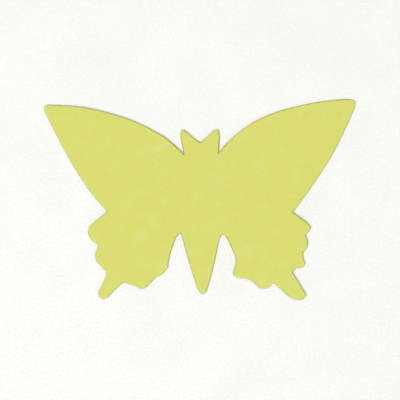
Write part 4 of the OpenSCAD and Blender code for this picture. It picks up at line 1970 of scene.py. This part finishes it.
@dataclass
class Housing:
    """Moulded housing round the cutting set, with the card slot under its front."""

    yard: Yard
    # walls
    corner: float = 6.0
    wall: float = 2.5
    draft: float = 0.3
    edge: float = 0.9
    rim: float = 0.4
    top: float = 40.0
    slot_play: float = 0.3
    slot_end: Point = (15.4, 16.6)
    # what stands inside
    flange_front: float = 18.3
    flange_rear: float = 44.0
    flange_height: float = 3.0
    # radius and height
    rear_boss: Point = (4.5, 12.0)
    front_boss: Point = (4.6, 7.0)
    # what holds the hinge, and how far out from the middle it starts
    hinge_boss_radius: float = 6.0
    hinge_boss_inner: float = 30.0
    bushing_bore: float = 4.03
    bore_reach: Point = (29.0, 50.0)
    # ridges
    ridge_z: float = 24.5
    ridge_length: float = 11.0
    ridge_width: float = 1.7
    ridge_pitch: float = 4.0
    ridge_swell: float = 1.1
    ridge_sunk: float = 0.25
    # lock
    lock_travel: float = 8.0
    mark_rise: float = 8.2

    def __post_init__(self) -> None:
        """Take the housing's size from the frame."""
        self.box = box("housing_shell")
        self.slot_top = box("stripper_plate").low.z + self.slot_play
        self.hinge = box("hinge_pin").middle
        self.lock = box("lock_retainer").middle
        low, high = self.box.low, self.box.high
        self.plan = RoundedPlan(high.x, low.y, high.y, self.corner, 12, 120, 4)

    def above_sill(self, rise: float) -> Callable[[float], float]:
        """Return the height this far above the lower edge, which steps up over the card slot."""
        slot, floor = self.slot_top, self.box.low.z
        return lambda y: slot + (floor - slot) * soft_step(y, *self.slot_end) + rise

    def walls(self) -> bpy.types.Object:
        """Build the walls, with rounded rims and a little draft."""
        top, wall, rim = self.top, self.wall, rounding(self.rim, 3)
        profile = [(inset, self.above_sill(rise)) for inset, rise in rim]
        edge = reversed(rounding(self.edge, 6))
        profile += [(self.draft + inset, top - drop) for inset, drop in edge]
        profile += [(wall - inset, top - drop) for inset, drop in rim]
        profile += [(wall - inset, self.above_sill(rise)) for inset, rise in reversed(rim)]
        shell = Shell()
        rings = shell.rings(self.plan, profile)
        shell.skin(*rings, rings[0])
        return shell.made("housing_shell_moulding")

    def hinge_boss(self, side: Side) -> bpy.types.Object:
        """Build one boss of the hinge, within the housing's outline."""
        inner, outer = self.hinge_boss_inner, self.box.high.x + 1
        boss = prism(circle(0, 0, self.hinge_boss_radius, 64), inner, outer)
        sideways(boss, Axis.X, (0.0, self.hinge.y, self.hinge.z))
        outline = RoundedPlan(self.plan.x - 0.05, self.plan.front, self.plan.rear, self.corner)
        combine(boss, Join.KEEP, [prism(outline.points(), self.hinge.z - 8, self.hinge.z + 8)])
        return on_side(boss, side)

    def ridges(self, tree: Grower) -> Iterator[bpy.types.Object]:
        """Build the rows of grip ridges on both sides and at the rear."""
        x, y, z = self.box.high.x - self.ridge_sunk, self.box.high.y - self.ridge_sunk, self.ridge_z
        pitch, swell = self.ridge_pitch, self.ridge_swell
        for row in (
            RidgeRow((-x, -16.0, z), 7, (0.0, pitch, 0.0), (swell, 1.0, 1.0)),
            RidgeRow((x, -16.0, z), 7, (0.0, pitch, 0.0), (swell, 1.0, 1.0)),
            RidgeRow((-24.0, y, z), 13, (pitch, 0.0, 0.0), (1.0, swell, 1.0)),
        ):
            yield tree.grow(
                "grip_ridges",
                LIME_ABS,
                [row.start],
                Count=row.count,
                Pitch=row.pitch,
                Length=(0.0, 0.0, self.ridge_length),
                Width=self.ridge_width,
                Flatness=row.flatness,
            )

    def cuts(self) -> Iterator[bpy.types.Object]:
        """Build what is cut out: the bushings' bores, the lock's slot and the card's lead-in."""
        inner, outer = self.bore_reach
        for start, end in ((-outer, -inner), (inner, outer)):
            bore = prism(circle(0, 0, self.bushing_bore, 64), start, end)
            yield sideways(bore, Axis.X, (0.0, self.hinge.y, self.hinge.z))
        front, half = self.box.low.y, self.lock_travel / 2
        window = RoundedPlan(3.0 + half, -1.9, 1.9, 0.8, 6, 1, 1)
        slot = prism(window.points(), -6.0, 2.0)
        yield sideways(slot, Axis.Y, (self.lock.x + half, front, self.lock.z))
        low = self.slot_top - 1
        bevel = [(front - 1, low), (front + 2, low), (front - 1, low + 4)]
        yield sideways(prism(bevel, -40.0, 40.0), Axis.X, (0.0, 0.0, 0.0))

    def shell(self, tree: Grower) -> bpy.types.Object:
        """Build the whole housing.

        Args:
            tree: Tree for the grip ridges.

        Returns:
            The housing.
        """
        floor, plate = self.box.low.z, box("stripper_plate").high.z
        flange = RoundedPlan(self.box.high.x - 1, self.flange_front, self.flange_rear, self.corner - 1)
        rear_radius, rear_height = self.rear_boss
        front_radius, front_height = self.front_boss
        added = [
            prism(flange.points(), floor, floor + self.flange_height),
            *[self.hinge_boss(side) for side in Side],
            *self.yard.posts("housing_screws", rear_radius, floor, floor + rear_height),
            *self.yard.posts("front_screws", front_radius, plate, plate + front_height),
            *self.ridges(tree),
        ]
        return combine(combine(self.walls(), Join.ADD, added), Join.CUT, self.cuts())

    def lock_mark(self, closed: bool) -> bpy.types.Object:
        """Build a raised mark over the lock: a ring where it is open and a dot where it is closed."""
        inner = 0.1 if closed else 0.8
        profile = [(inner, -0.3), (1.4, -0.3), (1.4, 0.12), (1.28, 0.22)]
        profile += [(inner + 0.05, 0.22), (inner, 0.17)]
        shell = Shell()
        rings = [shell.ring(circle(0, 0, r, 48), z) for r, z in profile]
        shell.skin(*rings, rings[0])
        mark = shell.made("lock_mark_closed" if closed else "lock_mark_open")
        x = self.lock.x + (self.lock_travel if closed else 0.0)
        # the wall leans back a little up there
        face = self.box.low.y + self.draft * 0.6
        return sideways(mark, Axis.Y, (x, face, self.lock.z + self.mark_rise))

    def build(self, tree: Grower) -> None:
        """Make the housing and what is fixed to it."""
        fit = self.yard.fit
        fit(dressed(self.shell(tree), LIME_ABS), LIME_ABS, "housing_shell")
        for closed in (False, True):
            fit(dressed(self.lock_mark(closed), GREY_POM), GREY_POM, "housing_shell", stands_in=False)
        self.yard.machined("hinge_bushings", NYLON, 0.1)


# ---------------------------------------------------------------- lock
@dataclass
class Lock:
    """Sliding storage lock with its thumb plate and finger."""

    yard: Yard
    plate: RoundedPlan = RoundedPlan(6.0, -5.0, 5.0, 1.6, 8, 4, 4)
    plate_depth: float = 2.2
    plate_edge: float = 0.5
    plate_play: float = 0.3
    stem: RoundedPlan = RoundedPlan(2.5, -1.5, 1.5, 0.4, 4, 1, 1)
    finger_low: float = 26.3
    finger_high: float = 28.9
    finger_depth: float = 2.4
    finger_corner: float = 0.7
    rib_pitch: float = 2.0
    rib_length: float = 8.0
    rib_width: float = 1.1

    def __post_init__(self) -> None:
        """Take the lock's place from the frame."""
        self.box = box("lock_slider")
        self.retainer = box("lock_retainer")
        self.x = self.retainer.middle.x
        self.back = box("housing_shell").low.y - self.plate_play

    def thumb_plate(self) -> bpy.types.Object:
        """Build the plate that the thumb pushes."""
        edge = reversed(rounding(self.plate_edge, 5))
        profile = [(0.15, 0.0), (0.0, 0.15)]
        profile += [(inset, self.plate_depth - drop) for inset, drop in edge]
        plate = moulded(self.plate, profile, "lock_slider_moulding")
        return sideways(plate, Axis.Y, (self.x, self.back, self.box.middle.z))

    def arm(self) -> Iterator[bpy.types.Object]:
        """Build the stem through the wall, the finger and the neck that carries it."""
        stem = prism(self.stem.points(), self.back - self.retainer.low.y, 0.3)
        yield sideways(stem, Axis.Y, (self.x, self.back, self.retainer.middle.z))
        front, start, end = self.box.low.y, self.x + self.stem.x, self.box.high.x
        half, corner = (end - start) / 2, self.finger_corner
        plan = RoundedPlan(half, self.finger_low, self.finger_high, corner, 6, 6, 2)
        finger = prism(plan.points(), -front - self.finger_depth, -front)
        yield sideways(finger, Axis.Y, ((start + end) / 2, 0.0, 0.0))
        neck = rectangle(start, self.x + self.plate.x - 0.2, front + 0.3, self.back - 1.8)
        yield prism(neck, self.finger_low + 0.1, self.finger_high - 0.1)

    def slider(self, ridges: Grower) -> bpy.types.Object:
        """Build the slider: a ribbed thumb plate, a stem and the finger.

        Args:
            ridges: Tree for the ribs of the thumb plate.

        Returns:
            The slider.
        """
        ribs = ridges.grow(
            "thumb_ribs",
            GREY_POM,
            [(self.x - 2 * self.rib_pitch, self.back - self.plate_depth - 0.15, self.box.middle.z)],
            Count=5,
            Pitch=(self.rib_pitch, 0.0, 0.0),
            Length=(0.0, 0.0, self.rib_length),
            Width=self.rib_width,
            Flatness=(1.0, 2.9, 1.0),
        )
        return combine(self.thumb_plate(), Join.ADD, [*self.arm(), ribs])

    def build(self, ridges: Grower) -> None:
        """Make the slider and the plate behind the wall."""
        self.yard.fit(dressed(self.slider(ridges), GREY_POM), GREY_POM, "lock_slider")
        self.yard.machined("lock_retainer", ZINC, 0.15)


# ---------------------------------------------------------------- studio, in metres
@dataclass(frozen=True)
class Lamp:
    """Square soft lamp that points at the object."""

    name: str
    place: tuple[float, float, float]
    size: float
    watts: float

    def hang(self, target: Vector) -> None:
        """Hang the lamp and turn it to the object.

        Args:
            target: Middle of the object.
        """
        light = bpy.data.lights.new(self.name, "AREA")
        light.energy = self.watts
        light.size = self.size
        hung = bpy.data.objects.new(self.name, light)
        hung.location = self.place
        hung.rotation_euler = (target - Vector(self.place)).to_track_quat("-Z", "Y").to_euler()
        bpy.context.scene.collection.objects.link(hung)


@dataclass
class Studio:
    """Pale paper, soft lamps, bright walls and a camera straight over the emblem."""

    outline: list[Point]
    paper_reach: float = 6.0
    wall_glow: float = 0.63
    ceiling_glow: float = 0.38
    lamps: tuple[Lamp, ...] = (
        Lamp("Key", (-0.9, -0.8, 1.4), 0.9, 18.0),
        Lamp("Fill", (1.2, -0.9, 1.0), 1.2, 5.6),
        Lamp("Rim", (0.3, 1.3, 1.2), 0.8, 6.0),
    )
    lens: float = 100.0
    sensor: float = 36.0
    # how much of the frame the emblem spans
    emblem_share: float = 0.7785
    # how far the camera stands to the right of the emblem's middle, and behind it
    nudge: Point = (0.05 * MM, -0.08 * MM)

    def floor(self) -> None:
        """Lay the paper."""
        reach = self.paper_reach
        corners = [(x, y, 0.0) for x, y in rectangle(-reach, reach, -reach, reach)]
        mesh = bpy.data.meshes.new("floor")
        mesh.from_pydata(corners, [], [(0, 1, 2, 3)])
        mesh.materials.append(PAPER.material())
        floor = new_object("floor", mesh)
        floor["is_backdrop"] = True

    def walls(self) -> None:
        """Let the walls glow a little more than the ceiling."""
        world = bpy.data.worlds.new("Studio")
        bpy.context.scene.world = world
        world.use_nodes = True
        tree = world.node_tree
        tree.nodes.clear()
        way = add_node(tree, "ShaderNodeTexCoord")
        level = add_node(tree, "ShaderNodeSeparateXYZ", {"Vector": way.outputs["Generated"]})
        height = add_node(tree, "ShaderNodeMath", {0: level.outputs["Z"]}, operation="ABSOLUTE")
        strength = add_node(
            tree,
            "ShaderNodeMapRange",
            {"Value": height.outputs[0], "To Min": self.wall_glow, "To Max": self.ceiling_glow},
        )
        glow = add_node(
            tree,
            "ShaderNodeBackground",
            {"Color": (1.0, 1.0, 1.0, 1.0), "Strength": strength.outputs["Result"]},
        )
        add_node(tree, "ShaderNodeOutputWorld", {"Surface": glow.outputs[0]})

    def camera(self) -> None:
        """Set the camera over the emblem, looking straight down."""
        camera = bpy.data.cameras.new("Camera")
        camera.lens, camera.sensor_width = self.lens, self.sensor
        camera.clip_start, camera.clip_end = 0.01, 10.0
        xs, ys = zip(*self.outline)
        view = (max(xs) - min(xs)) * MM / self.emblem_share
        top = box("butterfly_inlay").high.z * MM
        eye = bpy.data.objects.new("Camera", camera)
        eye.location = (
            self.nudge[0],
            (max(ys) + min(ys)) / 2 * MM + self.nudge[1],
            top + view * self.lens / self.sensor,
        )
        bpy.context.scene.collection.objects.link(eye)
        bpy.context.scene.camera = eye
        bpy.context.scene.view_settings.view_transform = "Standard"

    def build(self) -> None:
        """Set up the whole studio."""
        self.floor()
        self.walls()
        for lamp in self.lamps:
            lamp.hang(Vector((0.0, 0.0, 0.03)))
        self.camera()


# ---------------------------------------------------------------- main
def corners(pair: tuple[Vector, Vector]) -> list[list[float]]:
    """Return a box's two corners as plain lists."""
    return [list(corner) for corner in pair]


def main() -> None:
    """Load the frame, build every sub-assembly round it and set up the studio."""
    logging.basicConfig(level=logging.INFO, format="%(name)s: %(message)s")
    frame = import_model()
    cad_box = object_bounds()
    yard = Yard(frame)
    outline = emblem_outline(yard.shape("butterfly_inlay"))
    ridges = ridge_grower()
    Base(yard, copy_grower()).build(scale_grower())
    Housing(yard).build(ridges)
    CuttingSet(yard, spring_grower()).build()
    Lever(yard, outline).build(ridges)
    Lock(yard).build(ridges)
    Fasteners(yard, screw_grower()).build()
    Studio(outline).build()
    {"cad": corners(cad_box), "visual": corners(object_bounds())}


if __name__ == "__main__":
    main()
